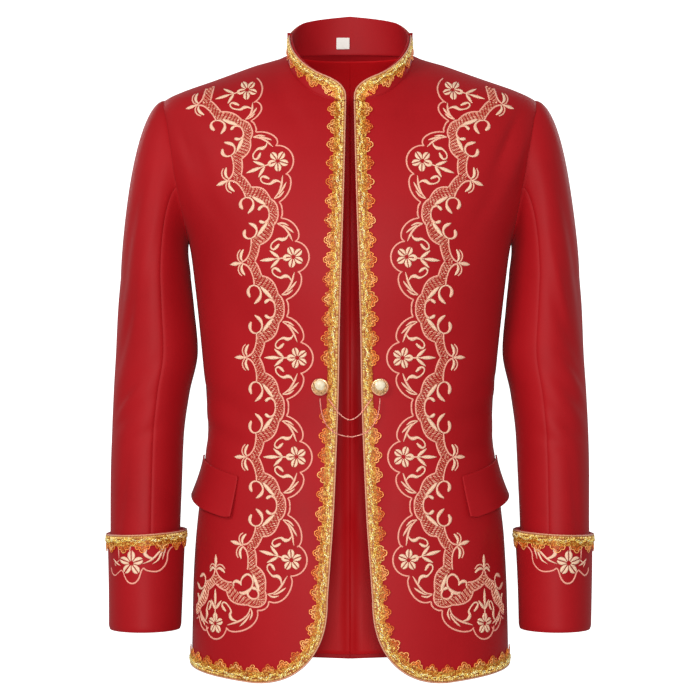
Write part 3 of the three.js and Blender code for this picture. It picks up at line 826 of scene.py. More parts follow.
# ------------------------------------------------------------------ meshes
def make_object(
    name: str,
    points: Array,
    faces: Sequence[Sequence[int]],
    uv: Array | None = None,
    material: bpy.types.Material | None = None,
) -> bpy.types.Object:
    """A new object at the origin from points in millimetres.

    Args:
        name: The piece's name.
        points: One row for each point.
        faces: The points of each face, in order.
        uv: One row for each corner of each face, in metres over the cloth.
        material: Its finish.

    Returns:
        The object, shaded smooth and linked to the scene.
    """
    mesh = bpy.data.meshes.new(name)
    mesh.from_pydata((points * MM).tolist(), [], faces)
    if uv is not None:
        layer = mesh.uv_layers.new(name="UVMap")
        layer.data.foreach_set("uv", np.asarray(uv, np.float32).ravel())
    mesh.shade_smooth()
    mesh.update()
    made = bpy.data.objects.new(name, mesh)
    bpy.context.scene.collection.objects.link(made)
    if material is not None:
        mesh.materials.append(material)
    return made


def signed_volume(points: Array, faces: Array) -> float:
    """Six times the volume that four-sided faces enclose: below 0 if they face in."""
    a, b, c, d = (points[faces[:, k]] for k in range(4))
    return float(np.sum(a * np.cross(b, c)) + np.sum(a * np.cross(c, d)))


@dataclass
class Wall:
    """A closed cloth wall between two grids of points, with rounded rims."""

    name: str
    outer: Array
    inner: Array
    ring: bool = False
    rim_steps: int = 3
    rim_round: float = 0.45

    def flat_lengths(self) -> Array:
        """Lengths over the cloth at each point of the outer grid, in metres.

        Returns:
            A pair of lengths, across and down, for each point.
        """
        grid = self.outer
        if self.ring:
            grid = np.concatenate([grid, grid[:, :1]], axis=1)
        across = np.linalg.norm(np.diff(grid, axis=1), axis=2)
        down = np.linalg.norm(np.diff(grid, axis=0), axis=2)
        u = np.concatenate([np.zeros((len(grid), 1)), np.cumsum(across, axis=1)], axis=1)
        v = np.concatenate([np.zeros((1, grid.shape[1])), np.cumsum(down, axis=0)], axis=0)
        return np.stack([u - u[:, -1:] / 2, v], axis=-1) * MM

    def border_loops(self) -> list[list[tuple[int, int]]]:
        """The grid places along each rim, in the order in which the faces pass them.

        Returns:
            A list of (row, column) places for each rim.
        """
        rows, columns = self.outer.shape[:2]
        last = columns if self.ring else columns - 1
        top = [(0, j) for j in range(last + 1)]
        bottom = [(rows - 1, j) for j in range(last, -1, -1)]
        if self.ring:
            return [top, bottom]
        right = [(i, last) for i in range(1, rows)]
        left = [(i, 0) for i in range(rows - 2, -1, -1)]
        return [top + right + bottom[1:] + left]

    def build(self, material: bpy.types.Material) -> bpy.types.Object:
        """Makes the wall's mesh.

        Args:
            material: Its finish.

        Returns:
            The new object.
        """
        rows, columns = self.outer.shape[:2]
        points = [self.outer.reshape(-1, 3), self.inner.reshape(-1, 3)]
        flat = self.flat_lengths()
        wide = flat.shape[1]
        corners = flat.reshape(-1, 2)
        index = (np.arange(rows)[:, None] * columns + np.arange(wide)[None, :] % columns)
        flat_index = np.arange(rows)[:, None] * wide + np.arange(wide)[None, :]
        a, b = index[:-1, :-1].ravel(), index[:-1, 1:].ravel()
        c, d = index[1:, 1:].ravel(), index[1:, :-1].ravel()
        fa, fb = flat_index[:-1, :-1].ravel(), flat_index[:-1, 1:].ravel()
        fc, fd = flat_index[1:, 1:].ravel(), flat_index[1:, :-1].ravel()
        layer = rows * columns
        faces = [np.stack([a, b, c, d], 1), np.stack([a, d, c, b], 1) + layer]
        flats = [np.stack([fa, fb, fc, fd], 1), np.stack([fa, fd, fc, fb], 1)]
        count = 2 * layer
        for loop in self.border_loops():
            rim, count = self.rim_faces(loop, index, flat_index, points, count)
            faces.append(rim[0])
            flats.append(rim[1])
        every_point = np.concatenate(points)
        every_face = np.concatenate(faces)
        every_flat = np.concatenate(flats)
        if signed_volume(every_point, every_face) < 0:
            every_face, every_flat = every_face[:, ::-1], every_flat[:, ::-1]
        uv = corners[every_flat].reshape(-1, 2)
        return make_object(self.name, every_point, every_face.tolist(), uv, material)

    def rim_faces(
        self,
        loop: list[tuple[int, int]],
        index: Array,
        flat_index: Array,
        points: list[Array],
        count: int,
    ) -> tuple[tuple[Array, Array], int]:
        """Rounds one rim off between the two faces.

        Args:
            loop: The rim's places in the grid.
            index: The point at each place of the grid.
            flat_index: The cloth length at each place of the grid.
            points: The points so far, to which the rim's are added.
            count: How many points there are so far.

        Returns:
            The rim's faces with their cloth lengths, and the new count.
        """
        rows, columns = self.outer.shape[:2]
        places = np.array([index[i, j] for i, j in loop])
        flats = np.array([flat_index[i, j] for i, j in loop])
        outer, inner = points[0][places], points[1][places]
        within = []
        for i, j in loop:
            k = j % columns
            inside = [min(max(i, 1), rows - 2), k if self.ring else min(max(j, 1), columns - 2)]
            within.append(self.outer[inside[0], inside[1]])
        beyond = unit(outer - np.array(within))
        half = np.linalg.norm(outer - inner, axis=1, keepdims=True) / 2
        rings = [places]
        for step in range(1, self.rim_steps):
            turn = np.pi * step / self.rim_steps
            bulge = beyond * half * self.rim_round * math.sin(turn)
            row = (outer + inner) / 2 + (outer - inner) / 2 * math.cos(turn) + bulge
            points.append(row[:-1])
            rings.append(np.append(count + np.arange(len(loop) - 1), count))
            count += len(loop) - 1
        rings.append(places + rows * columns)
        faces, corners = [], []
        for near, far in zip(rings, rings[1:]):
            faces.append(np.stack([near[:-1], far[:-1], far[1:], near[1:]], 1))
            corners.append(np.stack([flats[:-1], flats[:-1], flats[1:], flats[1:]], 1))
        return (np.concatenate(faces), np.concatenate(corners)), count


# ------------------------------------------------------------------ node writing
class Number:
    """A number socket on which Python's operators add Math nodes."""

    def __init__(self, shade: "Shade", socket: bpy.types.NodeSocket) -> None:
        """Keeps the socket and the material that it belongs to."""
        self.shade, self.socket = shade, socket

    def __add__(self, other: "Number | float") -> "Number":
        """The sum."""
        return self.shade.maths("ADD", self, other)

    def __sub__(self, other: "Number | float") -> "Number":
        """The difference."""
        return self.shade.maths("SUBTRACT", self, other)

    def __rsub__(self, other: float) -> "Number":
        """The difference, from a plain number."""
        return self.shade.maths("SUBTRACT", other, self)

    def __mul__(self, other: "Number | float") -> "Number":
        """The product."""
        return self.shade.maths("MULTIPLY", self, other)

    __radd__, __rmul__ = __add__, __mul__

    def sine(self) -> "Number":
        """The sine."""
        return self.shade.maths("SINE", self)

    def held(self) -> "Number":
        """The number, held between 0 and 1."""
        return self.shade.maths("MINIMUM", self.shade.maths("MAXIMUM", self, 0.0), 1.0)


Feed = Number | bpy.types.NodeSocket | float | str | tuple


class NodeWriter:
    """A node tree that is being written."""

    def __init__(self, tree: bpy.types.NodeTree) -> None:
        """Keeps the tree."""
        self.tree = tree

    def feed(self, socket: bpy.types.NodeSocket, value: Feed) -> None:
        """Links a socket to another, or sets its own value.

        Args:
            socket: The input.
            value: A link, a number or a colour.
        """
        if isinstance(value, Number):
            value = value.socket
        if isinstance(value, bpy.types.NodeSocket):
            self.tree.links.new(value, socket)
        elif isinstance(value, tuple) and socket.type == "RGBA":
            socket.default_value = (*value[:3], 1.0)
        else:
            socket.default_value = value

    def node(
        self,
        kind: str,
        settings: dict[str, object] | None = None,
        sockets: dict[str | int, Feed] | None = None,
    ) -> bpy.types.Node:
        """Adds a node.

        Args:
            kind: The node's type.
            settings: Its own properties; stops are a ramp's (place, colour) pairs.
            sockets: Values or links, by socket name or number.

        Returns:
            The new node.
        """
        made = self.tree.nodes.new(kind)
        for key, value in (settings or {}).items():
            if key == "stops":
                self.set_stops(made.color_ramp, value)
            else:
                setattr(made, key, value)
        for key, value in (sockets or {}).items():
            self.feed(made.inputs[key], value)
        return made

    @staticmethod
    def set_stops(ramp: bpy.types.ColorRamp, stops: Sequence[tuple[float, Colour]]) -> None:
        """Gives a colour ramp its stops.

        Args:
            ramp: The ramp.
            stops: (place, colour) pairs in rising order.
        """
        while len(ramp.elements) < len(stops):
            ramp.elements.new(1.0)
        for element, (place, colour) in zip(ramp.elements, stops):
            element.position = place
            element.color = (*colour, 1.0)


class Shade(NodeWriter):
    """A material that is being written around one Principled shader."""

    def __init__(self, name: str, **constants: Feed) -> None:
        """Starts the material.

        Args:
            name: The material's name.
            **constants: Values for the shader's sockets, by name with _ for spaces.
        """
        self.material = bpy.data.materials.new(name)
        self.material.use_nodes = True
        super().__init__(self.material.node_tree)
        self.shader = self.tree.nodes["Principled BSDF"]
        for key, value in constants.items():
            self.feed(self.shader.inputs[key.replace("_", " ")], value)

    def colour(self, colour: Feed) -> None:
        """Sets the shader's base colour."""
        self.feed(self.shader.inputs["Base Color"], colour)

    def rough(self, roughness: Feed) -> None:
        """Sets how rough the surface is."""
        self.feed(self.shader.inputs["Roughness"], roughness)

    def maths(self, operation: str, *values: Feed) -> Number:
        """The result of a Math node."""
        made = self.node("ShaderNodeMath", {"operation": operation}, dict(enumerate(values)))
        return Number(self, made.outputs[0])

    def coordinates(self, output: str) -> bpy.types.NodeSocket:
        """An output of Texture Coordinate: Object or UV."""
        return self.node("ShaderNodeTexCoord").outputs[output]

    def flat(self) -> tuple[Number, Number]:
        """Lengths over the cloth, across and down, in metres."""
        parts = self.node("ShaderNodeSeparateXYZ", None, {0: self.coordinates("UV")})
        return Number(self, parts.outputs[0]), Number(self, parts.outputs[1])

    def attribute(self, name: str) -> Number:
        """A number stored on the mesh."""
        made = self.node("ShaderNodeAttribute", {"attribute_name": name})
        return Number(self, made.outputs["Fac"])

    def noise(self, where: bpy.types.NodeSocket, scale: float, detail: float = 3.0) -> Number:
        """Soft noise, about 0.5 on average.

        Args:
            where: The coordinates that it reads.
            scale: How fine it is.
            detail: Its octaves.

        Returns:
            The noise.
        """
        sockets = {"Vector": where, "Scale": scale, "Detail": detail, "Roughness": 0.55}
        made = self.node("ShaderNodeTexNoise", None, sockets)
        return Number(self, made.outputs[0])

    def blend(self, share: Feed, a: Feed, b: Feed) -> bpy.types.NodeSocket:
        """The colour that lies a share of the way from a to b.

        Args:
            share: How much of b.
            a: The first colour.
            b: The second colour.

        Returns:
            The colour.
        """
        settings = {"data_type": "RGBA"}
        # Among the node's sockets 6, 7 and output 2 are the ones for colours.
        made = self.node("ShaderNodeMix", settings, {0: share, 6: a, 7: b})
        return made.outputs[2]

    def ramp(self, share: Feed, stops: Sequence[tuple[float, Colour]]) -> bpy.types.NodeSocket:
        """A colour read from a ramp."""
        return self.node("ShaderNodeValToRGB", {"stops": stops}, {0: share}).outputs[0]

    def bump(self, height: Feed, depth: float, strength: float = 1.0) -> None:
        """Presses a height pattern into the surface.

        Args:
            height: The pattern, from 0 to 1.
            depth: How deep 1 is, in metres.
            strength: How strongly it shows.
        """
        sockets = {"Height": height, "Distance": depth, "Strength": strength}
        made = self.node("ShaderNodeBump", None, sockets)
        before = self.shader.inputs["Normal"]
        if before.is_linked:
            self.feed(made.inputs["Normal"], before.links[0].from_socket)
        self.feed(before, made.outputs[0])


def linear(red: float, green: float, blue: float) -> Colour:
    """A screen colour of 0 to 255 as the light that it stands for.

    Args:
        red: Red, 0 to 255.
        green: Green.
        blue: Blue.

    Returns:
        The same channels as light, 0 to 1.
    """
    def one(value: float) -> float:
        """One channel, by the sRGB curve.

        Args:
            value: The channel, 0 to 255.

        Returns:
            Its light, 0 to 1.
        """
        share = value / 255
        return share / 12.92 if share <= 0.04045 else ((share + 0.055) / 1.055) ** 2.4

    return one(red), one(green), one(blue)


# ------------------------------------------------------------------ finishes
@dataclass(frozen=True)
class SatinFinish:
    """Satin-faced suiting: a fine twill with a soft, cool sheen."""

    name: str = "red_satin"
    shade: Colour = linear(170, 18, 26)
    deep: Colour = linear(148, 9, 17)
    roughness: float = 0.56
    sheen: float = 0.08
    sheen_tint: Colour = linear(255, 130, 130)
    thread: float = 0.0007
    weave_depth: float = 0.00003

    def material(self) -> bpy.types.Material:
        """Writes the finish's material.

        Returns:
            The material.
        """
        shade = Shade(
            self.name,
            Specular_IOR_Level=0.14,
            Sheen_Weight=self.sheen,
            Sheen_Roughness=0.5,
            Sheen_Tint=self.sheen_tint,
        )
        place = shade.coordinates("Object")
        cloud = shade.noise(place, 9.0, 4.0)
        grain = shade.noise(place, 420.0, 2.0)
        across, down = shade.flat()
        twill = ((across + down * 1.7) * (2 * math.pi / self.thread)).sine() * 0.5 + 0.5
        colour = shade.blend((cloud * 1.6 - 0.3).held(), self.deep, self.shade)
        colour = shade.blend((grain * 0.5).held(), colour, self.shade)
        shade.colour(colour)
        shade.rough(cloud * 0.14 + (self.roughness - 0.07))
        shade.bump(twill, self.weave_depth, 0.35)
        shade.bump(grain, 0.0002, 0.12)
        shade.bump(cloud, 0.0012, 0.25)
        return shade.material


@dataclass(frozen=True)
class GiltFinish:
    """Metal thread and spangles: each copy takes its own place in a run of golds."""

    name: str
    dark: Colour
    middle: Colour
    bright: Colour
    metallic: float
    roughness: float = 0.34
    middle_at: float = 0.45

    def material(self) -> bpy.types.Material:
        """Writes the finish's material.

        Returns:
            The material.
        """
        shade = Shade(self.name, Metallic=self.metallic, Specular_IOR_Level=0.5)
        place = shade.coordinates("Object")
        grain = shade.noise(place, 900.0, 2.0)
        tint = shade.attribute("tint")
        share = (tint + grain * 0.5 - 0.25).held()
        stops = [(0.0, self.dark), (self.middle_at, self.middle), (1.0, self.bright)]
        shade.colour(shade.ramp(share, stops))
        shade.rough((grain * 0.3 + (self.roughness - 0.15)).held())
        shade.bump(grain, 0.0002, 0.4)
        return shade.material


@dataclass(frozen=True)
class CordFinish:
    """A fine twisted cord: its strands wind round it, with painted shade in the grooves between them."""

    name: str
    light: Colour
    # dark is painted shade for the grooves between the strands
    dark: Colour
    metallic: float = 0.2
    roughness: float = 0.45
    pitch: float = 0.0016
    girth: float = 0.006

    def material(self) -> bpy.types.Material:
        """Writes the finish's material; u runs round the cord and v along it.

        Returns:
            The material.
        """
        shade = Shade(self.name, Metallic=self.metallic, Sheen_Weight=0.2)
        around, along = shade.flat()
        turn = around * (4 * math.pi / self.girth) + along * (2 * math.pi / self.pitch)
        strand = turn.sine() * 0.5 + 0.5
        # The dark colour lies where the strand wave is low, in the grooves: painted shade.
        colour = shade.blend(strand, self.dark, self.light)
        shade.colour(colour)
        shade.rough(strand * -0.15 + (self.roughness + 0.1))
        shade.bump(strand, 0.00025, 0.7)
        return shade.material


@dataclass(frozen=True)
class ThreadFinish:
    """Satin stitch: threads laid side by side across a stroke, with painted shade in the grooves between
    them.
    """

    name: str = "champagne_thread"
    light: Colour = linear(255, 238, 200)
    warm: Colour = linear(255, 168, 150)
    # gap is painted shade for the grooves between the threads
    gap: Colour = linear(214, 124, 98)
    pitch: float = 0.00055

    def material(self) -> bpy.types.Material:
        """Writes the finish's material; v runs along the stroke and u across it.

        Returns:
            The material.
        """
        shade = Shade(self.name, Sheen_Weight=0.15, Specular_IOR_Level=0.5, Roughness=0.4)
        across, along = shade.flat()
        warmth = shade.attribute("warmth")
        place = shade.coordinates("Object")
        patch = shade.noise(place, 160.0, 2.0)
        wander = shade.noise(place, 700.0, 1.0) * 0.0004
        thread = ((along + across * 0.35 + wander) * (2 * math.pi / self.pitch)).sine() * 0.5 + 0.5
        body = shade.blend((warmth + patch * 0.5 - 0.25).held(), self.light, self.warm)
        # The gap colour lies where the thread wave is low, in the grooves: painted shade.
        colour = shade.blend((thread * 1.5).held(), self.gap, body)
        shade.colour(colour)
        shade.bump(thread, 0.00012, 0.6)
        return shade.material


@dataclass(frozen=True)
class MetalFinish:
    """Gilt metal, paler in soft random patches."""

    name: str
    shade: Colour
    # the colour of the paler random patches
    paler: Colour
    roughness: float
    bump_depth: float = 0.00015

    def material(self) -> bpy.types.Material:
        """Writes the finish's material.

        Returns:
            The material.
        """
        shade = Shade(self.name, Metallic=0.9)
        place = shade.coordinates("Object")
        patch = shade.noise(place, 350.0, 3.0)
        # Paler in soft random patches of noise.
        colour = shade.blend((patch * 1.4 - 0.2).held(), self.shade, self.paler)
        shade.colour(colour)
        shade.rough(patch * 0.2 + (self.roughness - 0.1))
        shade.bump(patch, self.bump_depth, 0.5)
        return shade.material


@dataclass(frozen=True)
class StoneFinish:
    """A pale cut stone, or pearl, with a soft lustre."""

    name: str = "pale_stone"
    shade: Colour = linear(252, 246, 226)
    deep: Colour = linear(222, 200, 158)

    def material(self) -> bpy.types.Material:
        """Writes the finish's material.

        Returns:
            The material.
        """
        shade = Shade(self.name, Roughness=0.12, Coat_Roughness=0.05)
        patch = shade.noise(shade.coordinates("Object"), 260.0, 3.0)
        colour = shade.blend((patch * 1.6 - 0.4).held(), self.deep, self.shade)
        shade.colour(colour)
        shade.feed(shade.shader.inputs["Coat Weight"], patch * 0.4 + 0.5)
        return shade.material


@dataclass(frozen=True)
class LabelFinish:
    """Plain woven tape."""

    name: str = "label_tape"
    shade: Colour = linear(243, 238, 230)
    pitch: float = 0.0006

    def material(self) -> bpy.types.Material:
        """Writes the finish's material.

        Returns:
            The material.
        """
        shade = Shade(self.name, Sheen_Weight=0.2, Specular_IOR_Level=0.2)
        across, down = shade.flat()
        warp, weft = ((way * (2 * math.pi / self.pitch)).sine() * 0.5 + 0.5 for way in (across, down))
        patch = shade.noise(shade.coordinates("Object"), 220.0, 2.0)
        dim = tuple(0.86 * value for value in self.shade)
        shade.colour(shade.blend(patch, dim, self.shade))
        shade.rough(patch * 0.1 + 0.75)
        shade.bump(warp * weft, 0.00008, 0.5)
        return shade.material


class Wardrobe:
    """Every finish of the coat, made once."""

    def __init__(self) -> None:
        """Writes the materials."""
        self.satin = SatinFinish().material()
        self.lining = SatinFinish(
            name="lining_satin",
            shade=linear(196, 16, 24),
            deep=linear(176, 9, 15),
            roughness=0.5,
            sheen=0.03,
        ).material()
        self.tape, self.bars, self.bright, self.rings, self.fans, self.fill = (
            GiltFinish(name, linear(*dark), linear(*middle), linear(*bright), *rest).material()
            for name, dark, middle, bright, *rest in (
                ("braid_ground", (150, 70, 10), (206, 122, 26), (240, 176, 62), 0.25, 0.5),
                ("braid_bars", (176, 106, 34), (240, 188, 92), (255, 236, 160), 0.35),
                ("braid_crest", (232, 176, 60), (255, 226, 118), (255, 248, 196), 0.35, 0.3),
                ("braid_rings", (170, 80, 8), (240, 152, 36), (255, 220, 112), 0.35),
                ("braid_fans", (206, 82, 22), (246, 138, 46), (255, 196, 120), 0.3, 0.4),
                ("fill_thread", (200, 112, 84), (228, 158, 126), (252, 206, 176), 0.0, 0.5),
            )
        )
        self.gilt, self.rim, self.chain = (
            MetalFinish(name, linear(*shade), linear(*paler), roughness).material()
            for name, shade, paler, roughness in (
                ("button_gilt", (206, 146, 88), (255, 234, 190), 0.3),
                ("button_rim", (238, 170, 136), (255, 222, 190), 0.3),
                ("chain_gilt", (250, 136, 120), (255, 198, 180), 0.34),
            )
        )
        # The cord's second colour is painted shade for its grooves.
        edge = CordFinish("edge_cord", linear(246, 190, 150), linear(190, 104, 70))
        self.edge_cord = edge.material()
        self.thread = ThreadFinish().material()
        self.stone = StoneFinish().material()
        self.label = LabelFinish().material()


# ------------------------------------------------------------------ repeats
class Socket(Enum):
    """The named inputs of the tree that lays out copies."""

    UNIT = "Unit"
    FINISH = "Finish"
    SEED = "Seed"
    GROW = "Size spread"
    TURN = "Turn spread"


class CopyTree(NodeWriter):
    """A Geometry Nodes tree that puts a unit shape at every point of a mesh.

    Each point carries the direction that the unit's Z takes, the one that its X takes
    and the unit's size along its own axes.
    """

    turn_step, grow_step = 11, 23  # these keep the turns' and the sizes' seeds apart

    def __init__(self) -> None:
        """Builds the tree."""
        super().__init__(bpy.data.node_groups.new("copies_along", "GeometryNodeTree"))
        face = self.tree.interface
        face.new_socket("Geometry", in_out="INPUT", socket_type="NodeSocketGeometry")
        kinds = {
            Socket.UNIT: "NodeSocketObject",
            Socket.FINISH: "NodeSocketMaterial",
            Socket.SEED: "NodeSocketInt",
            Socket.GROW: "NodeSocketFloat",
            Socket.TURN: "NodeSocketFloat",
        }
        self.keys = {
            key: face.new_socket(key.value, in_out="INPUT", socket_type=kind).identifier
            for key, kind in kinds.items()
        }
        face.new_socket("Geometry", in_out="OUTPUT", socket_type="NodeSocketGeometry")
        given = self.node("NodeGroupInput")
        shape, finish, seed, grow, turn = (given.outputs[key.value] for key in Socket)
        out_way, run_way, size = (self.stored(name) for name in ("out_way", "run_way", "unit_size"))
        axes = {"primary_axis": "Z", "secondary_axis": "X"}
        facing = self.node("FunctionNodeAxesToRotation", axes, {0: out_way, 1: run_way})
        angle = self.random(seed, self.turn_step, turn)
        spin = self.node("FunctionNodeAxisAngleToRotation", None, {"Angle": angle})
        both = {0: facing.outputs[0], 1: spin.outputs[0]}
        turned = self.node("FunctionNodeRotateRotation", {"rotation_space": "LOCAL"}, both)
        spread = {0: self.random(seed, self.grow_step, grow), 1: 1.0}
        growth = self.node("ShaderNodeMath", {"operation": "ADD"}, spread)
        sizes = {0: size, "Scale": growth.outputs[0]}
        scaled = self.node("ShaderNodeVectorMath", {"operation": "SCALE"}, sizes)
        unit_shape = self.node("GeometryNodeObjectInfo", None, {0: shape})
        placed = {
            "Points": given.outputs["Geometry"],
            "Instance": unit_shape.outputs["Geometry"],
            "Rotation": turned.outputs[0],
            "Scale": scaled.outputs[0],
        }
        copies = self.node("GeometryNodeInstanceOnPoints", None, placed)
        shade = self.node("FunctionNodeRandomValue", {"data_type": "FLOAT"}, {"Seed": seed})
        tint = self.node(
            "GeometryNodeStoreNamedAttribute",
            {"data_type": "FLOAT", "domain": "INSTANCE"},
            {"Geometry": copies.outputs[0], "Name": "tint", "Value": shade.outputs[1]},
        )
        real = self.node("GeometryNodeRealizeInstances", None, {0: tint.outputs[0]})
        dressed = {0: real.outputs[0], "Material": finish}
        last = self.node("GeometryNodeSetMaterial", None, dressed)
        self.node("NodeGroupOutput", None, {0: last.outputs[0]})

    def stored(self, name: str) -> bpy.types.NodeSocket:
        """A direction or size that is stored on the points."""
        settings = {"data_type": "FLOAT_VECTOR"}
        return self.node("GeometryNodeInputNamedAttribute", settings, {"Name": name}).outputs[0]

    def random(
        self, seed: bpy.types.NodeSocket, step: int, spread: bpy.types.NodeSocket
    ) -> bpy.types.NodeSocket:
        """A random number between plus and minus a spread.

        Args:
            seed: The tree's seed.
            step: Added to the seed.
            spread: The largest number.

        Returns:
            The number.
        """
        moved = self.node("ShaderNodeMath", {"operation": "ADD"}, {0: seed, 1: step})
        ends = {2: -1.0, "Seed": moved.outputs[0]}
        made = self.node("FunctionNodeRandomValue", {"data_type": "FLOAT"}, ends)
        parts = {0: made.outputs[1], 1: spread}
        return self.node("ShaderNodeMath", {"operation": "MULTIPLY"}, parts).outputs[0]


@dataclass
class Places:
    """Where copies go: points in millimetres, their outward and running directions."""

    at: Array
    out: Array
    run: Array
    size: Array

    @staticmethod
    def joined(parts: Iterable["Places"]) -> "Places":
        """Several sets of places as one.

        Args:
            parts: The sets.

        Returns:
            One set.
        """
        parts = list(parts)
        names = ("at", "out", "run", "size")
        return Places(*(np.concatenate([getattr(part, name) for part in parts]) for name in names))


class Copier:
    """Turns places and a unit shape into one mesh object."""

    def __init__(self) -> None:
        """Builds the tree that all copies share."""
        self.tree = CopyTree()
        self.units: set[bpy.types.Object] = set()
        self.kinds: dict[str, bpy.types.Object] = {}

    def shared(self, kind: str) -> bpy.types.Object:
        """A unit shape that many layers share: a grain or a ring.

        Args:
            kind: "grain" or "ring".

        Returns:
            The unit shape, made when it is first asked for.
        """
        if kind not in self.kinds:
            if kind == "grain":
                self.kinds[kind] = bead_shape(kind, around=6, levels=4)
            else:
                self.kinds[kind] = ring_shape(kind, sides=7, section=3, thick=0.17)
        return self.kinds[kind]

    def remove_units(self) -> None:
        """Removes the unit shapes, once nothing more is copied."""
        for shape in self.units:
            bpy.data.objects.remove(shape)

    def copies(
        self,
        name: str,
        unit_shape: bpy.types.Object,
        places: Places,
        material: bpy.types.Material,
        seed: int,
        grow: float = 0.0,
        turn: float = 0.0,
    ) -> bpy.types.Object:
        """Makes the copies.

        Args:
            name: The new piece's name.
            unit_shape: The shape that is copied, 1 unit large.
            places: Where the copies go; their size is in millimetres.
            material: The copies' finish.
            seed: Seed for what is random.
            grow: How far a copy's size may differ from 1.
            turn: How far a copy may turn round its outward axis, in radians.

        Returns:
            The copies as one object.
        """
        mesh = bpy.data.meshes.new(name + "_places")
        mesh.from_pydata((places.at * MM).tolist(), [], [])
        stored = {"out_way": places.out, "run_way": places.run, "unit_size": places.size * MM}
        for key, value in stored.items():
            layer = mesh.attributes.new(key, "FLOAT_VECTOR", "POINT")
            layer.data.foreach_set("vector", np.ascontiguousarray(value, np.float32).ravel())
        host = bpy.data.objects.new(name + "_places", mesh)
        bpy.context.scene.collection.objects.link(host)
        modifier = host.modifiers.new("copies", "NODES")
        modifier.node_group = self.tree.tree
        keys = self.tree.keys
        modifier[keys[Socket.UNIT]] = unit_shape
        self.units.add(unit_shape)
        modifier[keys[Socket.FINISH]] = material
        modifier[keys[Socket.SEED]] = seed
        modifier[keys[Socket.GROW]] = grow
        modifier[keys[Socket.TURN]] = turn
        graph = bpy.context.evaluated_depsgraph_get()
        made = bpy.data.meshes.new_from_object(
            host.evaluated_get(graph), preserve_all_data_layers=True, depsgraph=graph
        )
        host.modifiers.remove(modifier)
        bpy.data.objects.remove(host)
        made.shade_smooth()
        made.name = name
        piece = bpy.data.objects.new(name, made)
        bpy.context.scene.collection.objects.link(piece)
        return piece


def ring_shape(name: str, sides: int, section: int, thick: float) -> bpy.types.Object:
    """A ring 1 unit across that lies in its XY plane.

    Args:
        name: The shape's name.
        sides: Steps round the ring.
        section: Sides of its wire.
        thick: The wire's radius.

    Returns:
        The hidden unit shape.
    """
    turn = 2 * np.pi * np.arange(sides) / sides
    wire = 2 * np.pi * np.arange(section) / section
    radius = 0.5 - thick + thick * np.cos(wire)[None, :]
    x, y = radius * np.cos(turn)[:, None], radius * np.sin(turn)[:, None]
    z = np.broadcast_to(thick * np.sin(wire), x.shape)
    points = np.stack([x, y, z], axis=-1).reshape(-1, 3)
    return unit_object(name, points, tube_faces(sides, section, closed=True))


def tube_faces(steps: int, section: int, closed: bool = False) -> list[list[int]]:
    """Faces between the sections of a tube, with caps at its ends unless it closes.

    Args:
        steps: How many sections there are.
        section: Points in each.
        closed: Whether the last section joins the first.

    Returns:
        The faces, pointing out where the sections run anticlockwise round the way on.
    """
    faces = []
    for i in range(steps if closed else steps - 1):
        near, far = i * section, (i + 1) % steps * section
        for j in range(section):
            k = (j + 1) % section
            faces.append([near + j, near + k, far + k, far + j])
    if not closed:
        faces.append([j for j in range(section - 1, -1, -1)])
        faces.append([(steps - 1) * section + j for j in range(section)])
    return faces


def unit_object(name: str, points: Array, faces: list[list[int]]) -> bpy.types.Object:
    """A unit shape for copies: 1 unit is 1 metre here, and copies scale it down.

    Args:
        name: The shape's name.
        points: Its points.
        faces: Its faces.

    Returns:
        The object.
    """
    mesh = bpy.data.meshes.new(name)
    mesh.from_pydata(points.tolist(), [], faces)
    mesh.shade_smooth()
    made = bpy.data.objects.new(name, mesh)
    bpy.context.scene.collection.objects.link(made)
    return made


def bead_shape(name: str, around: int, levels: int) -> bpy.types.Object:
    """A ball 1 unit across.

    Args:
        name: The shape's name.
        around: Steps round it.
        levels: Steps from pole to pole.

    Returns:
        The unit shape.
    """
    points, faces = [[0, 0, 0.5]], []
    for level in range(1, levels):
        tilt = np.pi * level / levels
        for k in range(around):
            turn = 2 * np.pi * k / around
            flat = math.sin(tilt) / 2
            points.append([flat * math.cos(turn), flat * math.sin(turn), math.cos(tilt) / 2])
    points.append([0, 0, -0.5])
    for k in range(around):
        n = (k + 1) % around
        faces.append([0, 1 + k, 1 + n])
        for level in range(levels - 2):
            near, far = 1 + level * around, 1 + (level + 1) * around
            faces.append([near + k, far + k, far + n, near + n])
        low = 1 + (levels - 2) * around
        faces.append([low + k, len(points) - 1, low + n])
    return unit_object(name, np.array(points), faces)


# ------------------------------------------------------------------ tubes and strokes
def frames(line: Array, normals: Array) -> tuple[Array, Array, Array]:
    """Directions along a line: on, out and across.

    Args:
        line: The line's points.
        normals: A rough outward direction at each.

    Returns:
        Unit directions on along the line, outwards and across it.
    """
    on = unit(np.gradient(line, axis=0))
    across = unit(np.cross(normals, on))
    return on, unit(np.cross(on, across)), across


